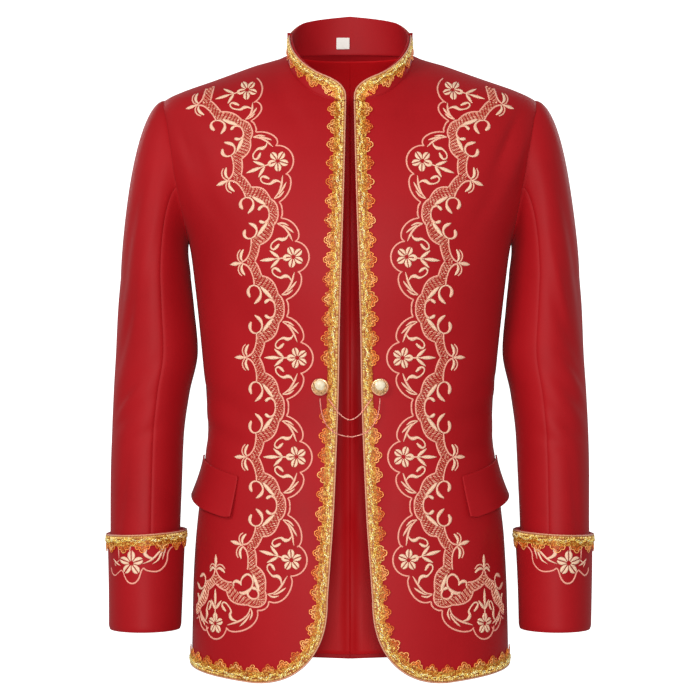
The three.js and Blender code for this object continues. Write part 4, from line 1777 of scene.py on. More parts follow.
def tube(
    line: Array, normals: Array, radius: Array | float, sides: int, closed: bool = False
) -> tuple[Array, list[list[int]], Array]:
    """A round tube along a line.

    Args:
        line: Its centre line.
        normals: A rough outward direction at each point.
        radius: Its radius, at each point or all along.
        sides: Sides of its section.
        closed: Whether the line comes back to its start.

    Returns:
        Points, faces, and cloth lengths (around, along) for each face's corners.
    """
    on, out, across = frames(line, normals)
    if closed:
        on = unit(np.roll(line, -1, 0) - np.roll(line, 1, 0))
        across = unit(np.cross(normals, on))
        out = unit(np.cross(on, across))
    radius = np.broadcast_to(radius, len(line))
    turn = 2 * np.pi * np.arange(sides) / sides
    ring = across[:, None] * np.cos(turn)[None, :, None] - out[:, None] * np.sin(turn)[None, :, None]
    points = line[:, None] + ring * radius[:, None, None]
    faces = tube_faces(len(line), sides, closed)
    run = lengths_along(line)
    girth = 2 * np.pi * float(radius.max())
    uv = []
    for i in range(len(line) if closed else len(line) - 1):
        low, high = run[i], run[i + 1] if i + 1 < len(run) else run[-1] + run[1]
        for j in range(sides):
            a, b = girth * j / sides, girth * (j + 1) / sides
            uv += [[a, low], [b, low], [b, high], [a, high]]
    if not closed:
        uv += [[0, run[0]]] * sides + [[0, run[-1]]] * sides
    return points.reshape(-1, 3), faces, np.array(uv) * MM


class Gather:
    """Collects parts of a mesh, with a number stored on each part's points."""

    def __init__(self) -> None:
        """Starts with nothing."""
        self.points: list[Array] = []
        self.faces: list[list[int]] = []
        self.uv: list[Array] = []
        self.marks: list[Array] = []
        self.count = 0

    def add(self, points: Array, faces: list[list[int]], uv: Array, mark: float = 0.5) -> None:
        """Adds a part.

        Args:
            points: Its points.
            faces: Its faces.
            uv: Cloth lengths for each face's corners.
            mark: The number stored on its points.
        """
        self.points.append(points)
        self.faces += [[self.count + k for k in face] for face in faces]
        self.uv.append(uv)
        self.marks.append(np.full(len(points), mark))
        self.count += len(points)

    def build(
        self, name: str, material: bpy.types.Material, stored: str = "tint"
    ) -> bpy.types.Object:
        """Makes the object.

        Args:
            name: Its name.
            material: Its finish.
            stored: The name under which the parts' numbers are stored.

        Returns:
            The new object.
        """
        points, uv = np.concatenate(self.points), np.concatenate(self.uv)
        made = make_object(name, points, self.faces, uv, material)
        layer = made.data.attributes.new(stored, "FLOAT", "POINT")
        layer.data.foreach_set("value", np.concatenate(self.marks).astype(np.float32))
        return made


def dress(piece: bpy.types.Object, slot: str) -> bpy.types.Object:
    """Rides a piece on the coat's one body and reports it.

    Args:
        piece: The piece.
        slot: Its material slot in the record; not used.

    Returns:
        The same piece.
    """
    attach(piece, BODY)
    LOG.info("%s: %d faces", piece.name, len(piece.data.polygons))
    return piece


# ------------------------------------------------------------------ the cloth pieces
@dataclass(frozen=True)
class Cut:
    """The flat size that a piece of cloth was cut to, in metres."""

    width: float
    length: float
    area: float


@dataclass
class ClothPieces:
    """Every panel of the coat as a fine wall on its form, with its creases."""

    body: BodyForm
    collar: CollarForm
    sleeve: SleeveForm
    cuff: CuffForm
    wardrobe: Wardrobe
    wall: float = 2.0
    seam: float = 0.3
    seat: float = 0.7
    tuck: float = 3.5  # width of a turned-in seam allowance
    seam_dip: float = 0.7  # how far the cloth sinks at a sewn seam
    seam_reach: float = 1.8
    edge_step: float = 0.8  # width of the closest column of faces beside an edge
    skirt_top: float = -590.0  # below this the rows bend towards the hem
    corner_steps: int = 20
    corner_near: float = 0.25  # a first, shorter step of the corner
    lining_wall: float = 1.0
    lining_pleat: tuple[float, float, float] = (2.6, 13.0, 7.0)  # depth, place and half width
    sleeve_seams: tuple[int, int, int] = (-7, 7, 17)  # in 24ths of a turn from the outside
    flap_front: tuple[float, float] = (128.0, -493.0)  # its top edge's front end, x and z
    flap_side: tuple[float, float] = (-2.0, -472.0)  # and its end at the side, y and z
    flap_drop: float = 48.0
    flap_lean: float = 7.0  # how much further back its lower front corner is
    flap_wide: float = 110.0
    flap_stand: tuple[float, float] = (3.5, 8.5)  # of its free edge, in front and behind
    stitch_in: float = 5.0  # the stitched line's distance from the flap's free edges
    stitch_half: float = 0.9
    stitch_dip: float = 0.45
    label_x: tuple[float, float] = (-16.5, -1.0)
    label_up: tuple[float, float] = (4.0, 17.0)
    label_wall: float = 0.9
    cuts: dict[str, Cut] = field(
        default_factory=lambda: {
            "front": Cut(0.29, 0.73, 0.164),
            "back": Cut(0.30, 0.73, 0.182),
            "lining": Cut(0.22, 0.72, 0.130),
            "top_sleeve": Cut(0.25, 0.62, 0.115),
            "under_sleeve": Cut(0.18, 0.50, 0.068),
            "cuff": Cut(0.315, 0.115, 0.0355),
            "flap": Cut(0.12, 0.052, 0.0058),
            "collar": Cut(0.52, 0.043, 0.0155),
            "label": Cut(0.0155, 0.013, 0.0002),
        }
    )

    def finish_piece(
        self,
        piece: bpy.types.Object,
        node: str,
        slot: str,
    ) -> None:
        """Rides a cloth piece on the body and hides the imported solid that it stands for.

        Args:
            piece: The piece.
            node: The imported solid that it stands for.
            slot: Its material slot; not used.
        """
        dress(piece, slot)
        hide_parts(node)

    def dip(self, across: Array, length: Array, first: bool, last: bool) -> Array:
        """How far the cloth sinks beside its seams, by its share across.

        Args:
            across: Shares across the piece.
            length: Its width.
            first: Whether its first side is sewn.
            last: Whether its last side is sewn.

        Returns:
            How far out each place moves, 0 or less.
        """
        total = np.zeros(np.broadcast(across, length).shape)
        if first:
            total = total + np.exp(-((across * length / self.seam_reach) ** 2))
        if last:
            total = total + np.exp(-(((1 - across) * length / self.seam_reach) ** 2))
        return -self.seam_dip * total

    def body_levels(self, face: int) -> Array:
        """Levels of a panel's rows, from the neck down to the skirt.

        Args:
            face: Front or back.

        Returns:
            The levels from the top down.
        """
        body = self.body
        middle = (body.armhole_top + body.armhole_foot) / 2
        half = (body.armhole_top - body.armhole_foot) / 2
        neck = body.neck_rise * np.sin(np.linspace(1.5, 0, 10)) if face == BACK else np.array([])
        shoulder = np.linspace(-2.0, body.armhole_top, 15)
        hole = middle + half * np.cos(np.pi * shares(52))
        lower = np.linspace(body.armhole_foot, self.skirt_top, 76)
        return np.concatenate([neck, shoulder, hole[1:], lower[1:]])

    def front_shares(self) -> tuple[Array, int]:
        """Shares of a front row from its edge to the side, closer at the corner.

        Returns:
            The shares, and how many of them lie on the corner.
        """
        body = self.body
        x, _ = body.corner(shares(self.corner_steps))
        start = float(body.angle_at_x(x[0], body.hem_front))
        corner = (body.angle_at_x(x, body.hem_front) - start) / (np.pi / 2 - start)
        corner = np.concatenate([[0, corner[1] * self.corner_near], corner[1:]])
        rest = lerp(corner[-1], 1, shares_with_edges(34, self.edge_step, 180))[1:]
        return np.concatenate([corner, rest]), len(corner)

    def panel(self, face: int, side: int, depth: float, dips: bool = True) -> Array:
        """A panel's grid of points.

        Args:
            face: Front or back.
            side: 1 for the wearer's left, -1 for the right.
            depth: How far in from the form.
            dips: Whether the cloth sinks at its seams.

        Returns:
            Rows of points from the top down.
        """
        body = self.body
        if face == FRONT:
            across, corner = self.front_shares()
        else:
            across, corner = shares_with_edges(54, self.edge_step, 270), 0
        levels = self.body_levels(face)
        top, foot = body.armhole_top, body.armhole_foot
        holed = (levels < top) & (levels > foot)
        seam = body.angle_at_y(np.full_like(levels, face * self.seam / 2), levels)
        hole = body.angle_at_y(body.armhole_depth(levels, face), levels)
        to = np.where(holed, hole, seam)
        if face == FRONT:
            neck, edge = body.neck_angle(levels, FRONT), body.edge_angle(levels)
            start = np.where(levels > -body.neck_drop, neck, edge)
        else:
            start = body.angle_at_x(np.full_like(levels, self.seam / 2), levels, BACK)
            to = np.where(levels > 0, body.neck_angle(levels, BACK), to)
        length = np.linalg.norm(body.ring(start, levels) - body.ring(to, levels), axis=1)
        sink = self.dip(across[None, :], length[:, None], face == BACK, True) if dips else 0.0
        fade = np.clip((-levels + 4) / 8, 0, 1)[:, None]  # no dip at the back of the neck
        angles = lerp(start[:, None], to[:, None], across[None, :])
        grid = body.point(angles, levels[:, None], sink * fade - depth, side)
        return np.concatenate([grid, self.skirt(face, side, depth, across, corner, dips)])

    def skirt(
        self, face: int, side: int, depth: float, across: Array, corner: int, dips: bool
    ) -> Array:
        """The rows that bend from the last level row down to the hem.

        Args:
            face: Front or back.
            side: 1 for the wearer's left, -1 for the right.
            depth: How far in from the form.
            across: Shares across the panel.
            corner: How many of them lie on the corner.
            dips: Whether the cloth sinks at its seams.

        Returns:
            Rows of points from the top down.
        """
        body = self.body
        if face == FRONT:
            _, rounded = body.corner(shares(self.corner_steps))
            near = lerp(rounded[0], rounded[1], self.corner_near)
            rounded = np.concatenate([[rounded[0], near], rounded[1:]])
            past = (across[corner:] - across[corner - 1]) / (1 - across[corner - 1])
            hem = np.concatenate([rounded, lerp(body.hem_front, body.hem_side, past)])
        else:
            hem = lerp(body.hem_back, body.hem_side, across)
        down = np.concatenate([np.linspace(0, 1, 27)[1:-1], [0.975, 0.99, 1.0]])
        z = lerp(self.skirt_top, hem[None, :], down[:, None])
        if face == FRONT:
            start = body.edge_angle(z)
        else:
            start = body.angle_at_x(self.seam / 2 + 0 * z, z, BACK)
        to = body.angle_at_y(face * self.seam / 2 + 0 * z, z)
        sink = self.dip(across[None, :], 230.0, face == BACK, True) if dips else 0.0
        return body.point(lerp(start, to, across[None, :]), z, sink - depth, side)

    def build_body(self) -> None:
        """The fronts, the backs and the back's lining."""
        for name, side in SIDES.items():
            for face, word in ((FRONT, "front"), (BACK, "back")):
                outer, inner = self.panel(face, side, 0), self.panel(face, side, self.wall)
                piece = Wall(f"cloth_{word}_{name}", outer, inner).build(self.wardrobe.satin)
                self.finish_piece(piece, f"{word}_{name}", "satin")
            self.build_lining(name, side)

    def build_lining(self, name: str, side: int) -> None:
        """A half of the back's lining, with a soft pleat beside the centre.

        Args:
            name: Left or right.
            side: 1 for the wearer's left, -1 for the right.
        """
        depth = self.wall + self.seam
        rows, columns = slice(8, -3), slice(0, 42)
        outer = self.panel(BACK, side, depth, dips=False)[rows, columns]
        inner = self.panel(BACK, side, depth + self.lining_wall, dips=False)[rows, columns]
        down = outer[..., 2]
        over = np.abs(outer[..., 0])
        deep, at, half = self.lining_pleat
        pleat = deep * np.exp(-(((over - at) / half) ** 2)) * np.clip((-40 - down) / 120, 0, 1)
        slack = 1.0 * np.sin(down / 23 + over / 31 + side) * np.sin(over / 19 + 0.6 * side)
        ripple = 1.3 * np.exp(-(((down + 560 + 0.5 * over) / 16) ** 2)) * np.sin(over / 17 + 1)
        move = np.clip(pleat + slack + 0.4 + ripple, 0, 4) * np.clip(over / 8, 0, 1)
        inner = inner + np.stack([0 * move, -move, 0 * move], axis=-1)
        outer = outer + np.stack([0 * move, -move * 0.92, 0 * move], axis=-1)
        piece = Wall(f"lining_{name}", outer, inner).build(self.wardrobe.lining)
        self.finish_piece(piece, f"lining_back_{name}", "lining")

    def build_sleeves(self) -> None:
        """Both sleeves: a top sleeve and an under sleeve each."""
        back, front, around = (seam * (2 * np.pi / 24) for seam in self.sleeve_seams)
        spans = {"top": (back, front, 66), "under": (front, around, 48)}
        runs = np.concatenate([shares(26), 1 + shares(100)[1:]])
        trim = self.seam / 2 / 51
        for name, side in SIDES.items():
            for word, (start, stop, count) in spans.items():
                length = (stop - start) * 50
                across = shares_with_edges(count, self.edge_step, length)
                turn = lerp(start + trim, stop - trim, across)
                sink = self.dip(across[None, :], length, True, True)
                sink = sink * np.clip(runs / 0.1, 0, 1)[:, None]
                faces = []
                for out, tucked in ((sink, 2.6), (sink - self.wall, 3.6)):
                    cloth = self.sleeve.point(turn[None, :], runs[:, None], out, side)
                    faces.append(np.concatenate([self.allowance(turn, tucked, side), cloth]))
                piece = Wall(f"cloth_{word}_sleeve_{name}", *faces).build(self.wardrobe.satin)
                node, cut = f"sleeve_{word}_{name}", f"{word}_sleeve"
                self.finish_piece(piece, node, "satin")

    def allowance(self, turn: Array, depth: float, side: int) -> Array:
        """A row of the sleeve's seam allowance, turned in under the armhole's edge.

        Args:
            turn: Turns round the sleeve.
            depth: How far in from the form.
            side: 1 for the wearer's left, -1 for the right.

        Returns:
            The row of points.
        """
        seam = self.body.armhole_point(turn)
        p = seam - self.body.normal(seam) * depth - [self.tuck, 0, 0]
        return (p * [side, 1, 1])[None]

    def build_cuffs(self) -> None:
        """Both turned-back cuffs."""
        turn = 2 * np.pi * shares(132)[:-1]
        up = np.concatenate([[0, 0.008, 0.02], np.linspace(0.04, 0.975, 30), [0.992, 1.0]])
        for name, side in SIDES.items():
            wave = 0.5 * np.sin(3 * turn[None, :] + side) * np.sin(np.pi * up[:, None])
            fold = -1.1 * np.exp(-((up[:, None] / 0.02) ** 2))
            outer = self.cuff.point(turn[None, :], up[:, None], wave + fold, side)
            inner = self.cuff.point(turn[None, :], up[:, None], -self.wall + 0 * wave, side)
            wall = Wall(f"cloth_cuff_{name}", outer, inner, ring=True, rim_round=0.9)
            piece = wall.build(self.wardrobe.satin)
            self.finish_piece(piece, f"cuff_{name}", "satin")

    def build_flaps(self) -> None:
        """Both pocket flaps, standing off a little at their free edge."""
        down = np.concatenate([np.linspace(0, 0.95, 18), [0.985, 1.0]])[:, None]
        along = shares_with_edges(30, self.edge_step, self.flap_wide)[None, :]
        (front_x, front_z), (side_y, side_z) = self.flap_front, self.flap_side
        for name, side in SIDES.items():
            rounded = 1 - 0.03 * np.exp(-(((1 - along) / 0.04) ** 2))
            rounded = rounded - 0.05 * np.exp(-((along / 0.05) ** 2))
            z = lerp(front_z, side_z, along) - self.flap_drop * down * rounded
            start = self.body.angle_at_x(front_x + self.flap_lean * down + 0 * z, z)
            to = self.body.angle_at_y(side_y + 0 * z, z)
            stand = lerp(*self.flap_stand, along) * down**1.6
            stand = stand + 0.5 * np.sin(along * 7 + side) * down
            angle = lerp(start, to, along)
            beside = np.minimum(along, 1 - along) * self.flap_wide
            near = np.minimum(beside, (1 - down) * self.flap_drop) - self.stitch_in
            stitched = -self.stitch_dip * np.exp(-((near / self.stitch_half) ** 2))
            base = self.seat + stand
            outer = self.body.point(angle, z, base + self.wall + stitched, side)
            inner = self.body.point(angle, z, base, side)
            piece = Wall(f"cloth_flap_{name}", outer, inner, rim_round=0.9).build(self.wardrobe.satin)
            self.finish_piece(piece, f"pocket_flap_{name}", "satin")

    def collar_stations(self) -> tuple[Array, Array]:
        """Places round the collar from the right front to the left, with their sides.

        Returns:
            The places as shares of half the neckline, and a side for each.
        """
        collar = self.collar
        near = collar.corner_length * shares(16) ** 1.6
        runs = np.concatenate([near, lerp(near[-1], collar.length, shares(70)[1:])])
        around = collar.runs.at("around", runs)
        side = np.concatenate([-np.ones(len(around)), np.ones(len(around) - 1)])
        return np.concatenate([around, around[-2::-1]]), side

    def build_collar(self) -> None:
        """The stand collar and the blank label inside it."""
        collar = self.collar
        around, side = self.collar_stations()
        rise = [-0.09, -0.03, 0, 0.02, 0.05, *np.linspace(0.1, 0.95, 12), 0.985, 1.0]
        rise = np.array(rise)[:, None]
        up = lerp(self.seat, collar.height(around)[None, :], rise)
        sink = -0.5 * np.exp(-((np.maximum(rise, 0) / 0.03) ** 2)) + 0 * up
        bow = 0.5 * np.sin(np.pi * rise) * np.sin(around * 9 + side)[None, :]
        mirror = np.where(np.arange(3) == 0, side[None, :, None], 1)
        outer = collar.point(around[None, :], up, sink + bow, 1) * mirror
        inner = collar.point(around[None, :], up, bow - collar.wall, 1) * mirror
        piece = Wall("cloth_collar", outer, inner, rim_round=0.8).build(self.wardrobe.satin)
        self.finish_piece(piece, "collar", "satin")
        self.build_label()

    def build_label(self) -> None:
        """The blank label, turned under at its sides."""
        (left, right), (low, high) = self.label_x, self.label_up
        x = np.linspace(left, right, 22)[None, :]
        up = np.linspace(low, high, 16)[:, None]
        around = 1 - np.arcsin(np.abs(x) / self.body.neck_half) / np.pi
        puff = 0.35 * np.sin(np.pi * (up - low) / (high - low))
        puff = puff * np.sin(np.pi * (x - left) / (right - left))
        depth = -self.collar.wall - self.seat + 0 * puff
        around, up = around + 0 * up, up + 0 * x
        outer = self.collar.point(around, up, depth - puff, -1)
        inner = self.collar.point(around, up, depth - puff - self.label_wall, -1)
        piece = Wall("cloth_label", outer, inner, rim_round=0.9).build(self.wardrobe.label)
        self.finish_piece(piece, "neck_label", "label")

    def build(self) -> None:
        """Makes every cloth piece."""
        self.build_body()
        self.build_sleeves()
        self.build_cuffs()
        self.build_flaps()
        self.build_collar()


# ------------------------------------------------------------------ picot braid
class Track:
    """A strip along an edge of the coat: run goes along it, and inward from the edge."""

    length: float
    picots: int
    closed: bool = False

    def place(self, run: Array, inward: Array, out: Array) -> Array:
        """Points of the strip, out from the cloth that carries it."""
        raise NotImplementedError

    def copies(
        self, run: Array, inward: Array, out: Array, size: Sequence[float], slant: float = 0.0
    ) -> Places:
        """Places for copies on the strip.

        Args:
            run: Lengths along the edge.
            inward: Distances in from it.
            out: Heights over the cloth.
            size: A copy's length along the run, its breadth and its height.
            slant: How far it turns from the run, in radians.

        Returns:
            The places.
        """
        run, inward, out = (np.ravel(v) for v in np.broadcast_arrays(run, inward, out))
        at, step = self.place(run, inward, out), 0.4
        on = unit(self.place(run + step, inward, out) - self.place(run - step, inward, out))
        up = unit(self.place(run, inward, out + 1.0) - at)
        way = on * math.cos(slant) + np.cross(up, on) * math.sin(slant)
        return Places(at, up, way, np.tile(np.asarray(size, float), (len(at), 1)))

    def evenly_placed(self, pitch: float, shift: float = 0.0) -> Array:
        """Runs at an even pitch, a whole number of them along the track."""
        count = round(self.length / pitch)
        return (np.arange(count) + 0.5 + shift) * self.length / count


class FrontTrack(Track):
    """Down a front edge, round its corner and along the hem to the side seam."""

    below_collar, before_side = 0.6, 1.0
    steps, spacing = 48, 2.0

    def __init__(self, body: BodyForm, side: int, pitch: float) -> None:
        """Measures the edge once.

        Args:
            body: The form.
            side: 1 for the wearer's left, -1 for the right.
            pitch: Wanted distance between picots.
        """
        self.body, self.side = body, side
        steps = self.steps
        top, foot = -body.neck_drop - self.below_collar, body.hem_front + body.corner_height
        levels = np.linspace(top, foot, steps + 1)
        x, z = body.corner(shares(steps))
        hem = np.linspace(body.hem_front, body.hem_side, steps + 1)
        first = body.angle_at_x(x[-1], body.hem_front)
        last = body.angle_at_y(np.full(steps + 1, -self.before_side), hem)
        parts = [
            body.ring(body.edge_angle(levels), levels),
            body.ring(body.angle_at_x(x, z), z)[1:],
            body.ring(lerp(first, last, shares(steps)), hem)[1:],
        ]
        self.line = evenly(np.concatenate(parts), self.spacing)
        self.runs = lengths_along(self.line)
        self.length = float(self.runs[-1])
        self.picots = round(self.length / pitch)
        along = np.gradient(self.line, axis=0)
        self.inward = unit(np.cross(body.normal(self.line), along))

    def place(self, run: Array, inward: Array, out: Array) -> Array:
        """Points that stay on the form at any distance from the edge.

        Args:
            run: Lengths along the edge.
            inward: Distances in from it.
            out: Heights over the cloth.

        Returns:
            The points.
        """
        body = self.body
        read = [np.interp(run, self.runs, self.line[:, k]) for k in range(3)]
        turn = [np.interp(run, self.runs, self.inward[:, k]) for k in range(3)]
        x, y, z = (a + b * inward for a, b in zip(read, turn))
        deep = body.rings.at("front", z)
        angle = np.where(-y > deep / 2, body.angle_at_x(x, z), body.angle_at_y(y, z))
        return body.point(angle, z, out, self.side)


class CollarTrack(Track):
    """Up the collar's right front, round its top edge and down its left front."""

    def __init__(self, collar: CollarForm, seat: float, pitch: float) -> None:
        """Lays the collar's outline flat, once.

        Args:
            collar: The form.
            seat: The lowest that the strip goes over the collar's seam.
            pitch: Wanted distance between picots.
        """
        self.collar, self.seat = collar, seat
        around = shares(2 * collar.measures) ** collar.crowding
        run = lengths_along(collar.neck(around))
        outline = np.stack([run, collar.height(around)], axis=1)
        self.line = np.concatenate([[[0, seat]], outline])
        self.runs = lengths_along(self.line)
        self.half = float(self.runs[-1])
        self.length = 2 * self.half
        self.picots = 2 * round(self.half / pitch)
        self.along = unit(np.gradient(self.line, self.runs, axis=0))
        self.along[-1] = [1, 0]

    def place(self, run: Array, inward: Array, out: Array) -> Array:
        """Points on the collar: those that would pass below its seam stay on it.

        Args:
            run: Lengths along the edge.
            inward: Distances in from it.
            out: Heights over the cloth.

        Returns:
            The points.
        """
        side = np.where(run <= self.half, -1, 1)
        held = np.where(run <= self.half, run, self.length - run)
        x, up, on_x, on_up = (
            np.interp(held, self.runs, column) for column in (*self.line.T, *self.along.T)
        )
        x, up = x + on_up * inward, np.maximum(self.seat, up - on_x * inward)
        past = np.maximum(0, x - self.collar.length)
        around = self.collar.runs.at("around", np.minimum(x, self.collar.length))
        placed = self.collar.point(around, up, out, 1)
        placed[..., 0] = (placed[..., 0] - past) * side
        return placed


class CuffTrack(Track):
    """Round a cuff's top edge."""

    closed = True

    def __init__(self, cuff: CuffForm, side: int, picots: int = 14) -> None:
        """Measures the edge once.

        Args:
            cuff: The form.
            side: 1 for the wearer's left, -1 for the right.
            picots: How many picots go round.
        """
        self.cuff, self.side, self.picots = cuff, side, picots
        turn = 2 * np.pi * shares(240)
        line = cuff.point(turn, 1.0, 0.0, side)
        self.runs, self.turns = lengths_along(line), turn
        self.length = float(self.runs[-1])

    def place(self, run: Array, inward: Array, out: Array) -> Array:
        """Points below the cuff's edge."""
        turn = np.interp(np.mod(run, self.length), self.runs, self.turns)
        return self.cuff.point(turn, 1 - inward / self.cuff.drop, out, self.side)


@dataclass
class PicotBraid:
    """Gold braid: a fine cord edge, bullion bars, a bright crest, rings and looped fans."""

    wardrobe: Wardrobe
    copier: Copier
    body: BodyForm
    slot: str = "gold_braid"
    seat: float = 0.7
    pitch: float = 22.5
    core: float = 12.6
    tape_thick: float = 0.7
    scallop: float = 4.6
    tape_steps: int = 12
    cord_in: float = 0.7
    cord_radius: float = 0.8
    bar_in: float = 3.3
    bar_size: tuple[float, float, float] = (1.15, 3.7, 1.5)
    bar_pitch: float = 1.4
    crest_in: float = 6.5
    crest_swing: float = 1.3
    crest_size: tuple[float, float, float] = (2.7, 1.35, 1.8)
    crest_rows: tuple[float, ...] = (-0.85, 0.85)
    crest_stray: float = 0.35
    crest_pitch: float = 1.7
    crest_slant: float = 0.75
    ring_rows: tuple[float, ...] = (8.5, 10.3, 12.1)
    ring_size: tuple[float, float, float] = (2.2, 2.2, 1.5)
    ring_pitch: float = 1.9
    ring_stray: float = 0.22
    ring_stray_up: float = 0.12
    fan_half: float = 8.2
    fan_wire: float = 0.62
    fan_stray: float = 0.16
    # Heights of the bars, the crest, the rings and the fans' grains over the tape.
    bar_up: float = 0.45
    crest_up: float = 0.75
    ring_up: float = 0.35
    grain_up: float = 0.25
    clear_of_button: float = 13.0
    button_z: float = -389.5
    outer_loop: tuple[tuple[float, float], ...] = (
        (-8.4, 12.0), (-8.3, 14.6), (-6.4, 16.9), (-4.1, 16.1), (-3.3, 18.4), (-1.8, 20.1), (0, 20.6),
    )
    inner_loop: tuple[tuple[float, float], ...] = (
        (-5.6, 12.4), (-5.4, 14.0), (-3.7, 14.6), (-2.3, 14.2), (-1.9, 16.6), (-1.0, 17.8), (0, 18.1),
    )
    fan_grains: tuple[tuple[float, float, float], ...] = (
        (0, 20.2, 2.0), (-6.6, 16.6, 1.9), (6.6, 16.6, 1.9), (-6.9, 13.6, 1.6), (6.9, 13.6, 1.6),
        (-3.4, 17.4, 1.5), (3.4, 17.4, 1.5), (0, 15.8, 1.7), (-3.7, 13.4, 1.6), (3.7, 13.4, 1.6),
        (0, 13.7, 1.6), (-1.9, 12.8, 1.4), (1.9, 12.8, 1.4),
    )

    def fan_middles(self, track: Track) -> Array:
        """Runs of the fans' middles, leaving out those beside a button.

        Args:
            track: The strip.

        Returns:
            The runs.
        """
        runs = (np.arange(track.picots) + 0.5) * track.length / track.picots
        if isinstance(track, FrontTrack):
            z = track.place(runs, 0 * runs, 0 * runs)[:, 2]
            runs = runs[np.abs(z - self.button_z) > self.clear_of_button]
        return runs

    def tape(self, name: str, track: Track) -> bpy.types.Object:
        """The woven tape that carries the rest, scalloped under the fans.

        Args:
            name: The track's name.
            track: The strip.

        Returns:
            The new piece.
        """
        count = track.picots * self.tape_steps
        runs = shares(count) * track.length
        if track.closed:
            runs = runs[:-1]
        apart = np.abs(runs[:, None] - self.fan_middles(track)[None, :]).min(axis=1)
        width = self.core + self.scallop * np.clip(1 - (apart / self.fan_half) ** 2, 0, 1) ** 0.6
        across = np.array([0, 0.04, 0.3, 0.55, 0.8, 0.96, 1.0])[:, None]
        inward = lerp(0.25, width[None, :], across)
        bow = 0.25 * np.sin(np.pi * across)
        grids = [
            track.place(runs[None, :] + 0 * inward, inward, self.seat + thick + 0 * inward)
            for thick in (self.tape_thick + bow, 0.0)
        ]
        return Wall(f"braid_tape_{name}", *grids, ring=track.closed).build(self.wardrobe.tape)

    def edge_cord(self, name: str, track: Track) -> bpy.types.Object:
        """The cord along the very edge.

        Args:
            name: The track's name.
            track: The strip.

        Returns:
            The new piece.
        """
        runs = evenly(np.array([[0.0], [track.length]]), 1.6)[:, 0]
        if track.closed:
            runs = runs[:-1]
        out = self.seat + self.cord_radius * 0.9
        line = track.place(runs, self.cord_in + 0 * runs, out + 0 * runs)
        up = track.place(runs, self.cord_in + 0 * runs, out + 1 + 0 * runs) - line
        points, faces, uv = tube(line, up, self.cord_radius, 8, track.closed)
        return make_object(f"braid_cord_{name}", points, faces, uv, self.wardrobe.edge_cord)

    def fans(self, name: str, track: Track, random: np.random.Generator) -> bpy.types.Object:
        """The looped wires of every fan.

        Args:
            name: The track's name.
            track: The strip.
            random: Where the unevenness comes from.

        Returns:
            The new piece.
        """
        gather = Gather()
        for loop, lift in ((self.outer_loop, 0.55), (self.inner_loop, 0.95)):
            half = np.array(loop)
            flat = catmull_rom(np.concatenate([half, (half * [-1, 1])[-2::-1]]), 2)
            out = self.seat + lift + 0 * flat[:, 0]
            for middle in self.fan_middles(track):
                stray = random.normal(0, self.fan_stray, flat.shape)
                run, inward = middle + flat[:, 0] + stray[:, 0], flat[:, 1] + stray[:, 1]
                line = track.place(run, inward, out)
                up = track.place(run, inward, out + 1) - line
                part = tube(line, up, self.fan_wire, 5)
                gather.add(*part, mark=float(random.random()))
        return gather.build(f"braid_fans_{name}", self.wardrobe.fans)

    def build(self, name: str, track: Track, seed: int) -> None:
        """Makes every layer along one track.

        Args:
            name: The track's name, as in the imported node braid_NAME.
            track: The strip that the braid follows.
            seed: Seed for its small unevenness.
        """
        random = np.random.default_rng(seed)
        tape = dress(self.tape(name, track), self.slot)
        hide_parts(f"braid_{name}")
        dress(self.edge_cord(name, track), self.slot)
        dress(self.fans(name, track, random), self.slot)
        low = self.seat + self.tape_thick
        finish = self.wardrobe
        bar_runs = track.evenly_placed(self.bar_pitch)
        bars = track.copies(bar_runs, self.bar_in, low + self.bar_up, self.bar_size)
        wave = 2 * np.pi * track.picots / track.length
        crest = []
        for beside in self.crest_rows:
            runs = track.evenly_placed(self.crest_pitch, beside / 4)
            swing = self.crest_in + beside + self.crest_swing * np.sin(runs * wave)
            swing = swing + random.normal(0, self.crest_stray, len(runs))
            up = low + self.crest_up
            crest.append(track.copies(runs, swing, up, self.crest_size, self.crest_slant))
        rows = []
        for row, inward in enumerate(self.ring_rows):
            runs = track.evenly_placed(self.ring_pitch, 0.5 * (row % 2))
            rows.append(
                track.copies(
                    runs + random.normal(0, self.ring_stray, len(runs)),
                    inward + random.normal(0, self.ring_stray, len(runs)),
                    low + self.ring_up + random.normal(0, self.ring_stray_up, len(runs)),
                    self.ring_size,
                )
            )
        middles = self.fan_middles(track)
        grains = [
            track.copies(middles + along, inward, low + self.grain_up, [size, size, size * 0.8])
            for along, inward, size in self.fan_grains
        ]
        layers = {
            "bars": ("grain", bars, finish.bars, 0.12, 0.25),
            "crest": ("grain", Places.joined(crest), finish.bright, 0.3, 0.6),
            "rings": ("ring", Places.joined(rows), finish.rings, 0.14, 3.0),
            "grains": ("ring", Places.joined(grains), finish.fans, 0.2, 3.0),
        }
        for word, (kind, places, material, grow, turn) in layers.items():
            shape = self.copier.shared(kind)
            own_seed = seed + len(word)
            layer = f"braid_{word}_{name}"
            dress(self.copier.copies(layer, shape, places, material, own_seed, grow, turn), self.slot)
        LOG.info("braid %s: %d picots in %.0f mm", name, track.picots, track.length)


# ------------------------------------------------------------------ embroidery
class Stroke(NamedTuple):
    """A satin-stitched line: places beside the vine and half widths from end to end.

    A place is (along, toward): along the vine from a flower, and towards the coat's
    front edge. A mirrored stroke is worked on both sides of its flower.
    """

    places: tuple[tuple[float, float], ...]
    widths: tuple[float, ...]
    warmth: float = 0.2
    mirrored: bool = True


class Rung(NamedTuple):
    """A place on the ribbon's outline nearer the front edge, and the one across from it."""

    along: float
    toward: float
    across_along: float
    across_toward: float


SCALLOP = (0.85, 1.02, 1.02, 0.85)
LEAF = (0.35, 1.0, 0.8, 0.15)


def swell(widest: float, *shape: float) -> tuple[float, ...]:
    """Half widths of a given shape, with the widest one given."""
    return tuple(widest * share for share in shape or LEAF)


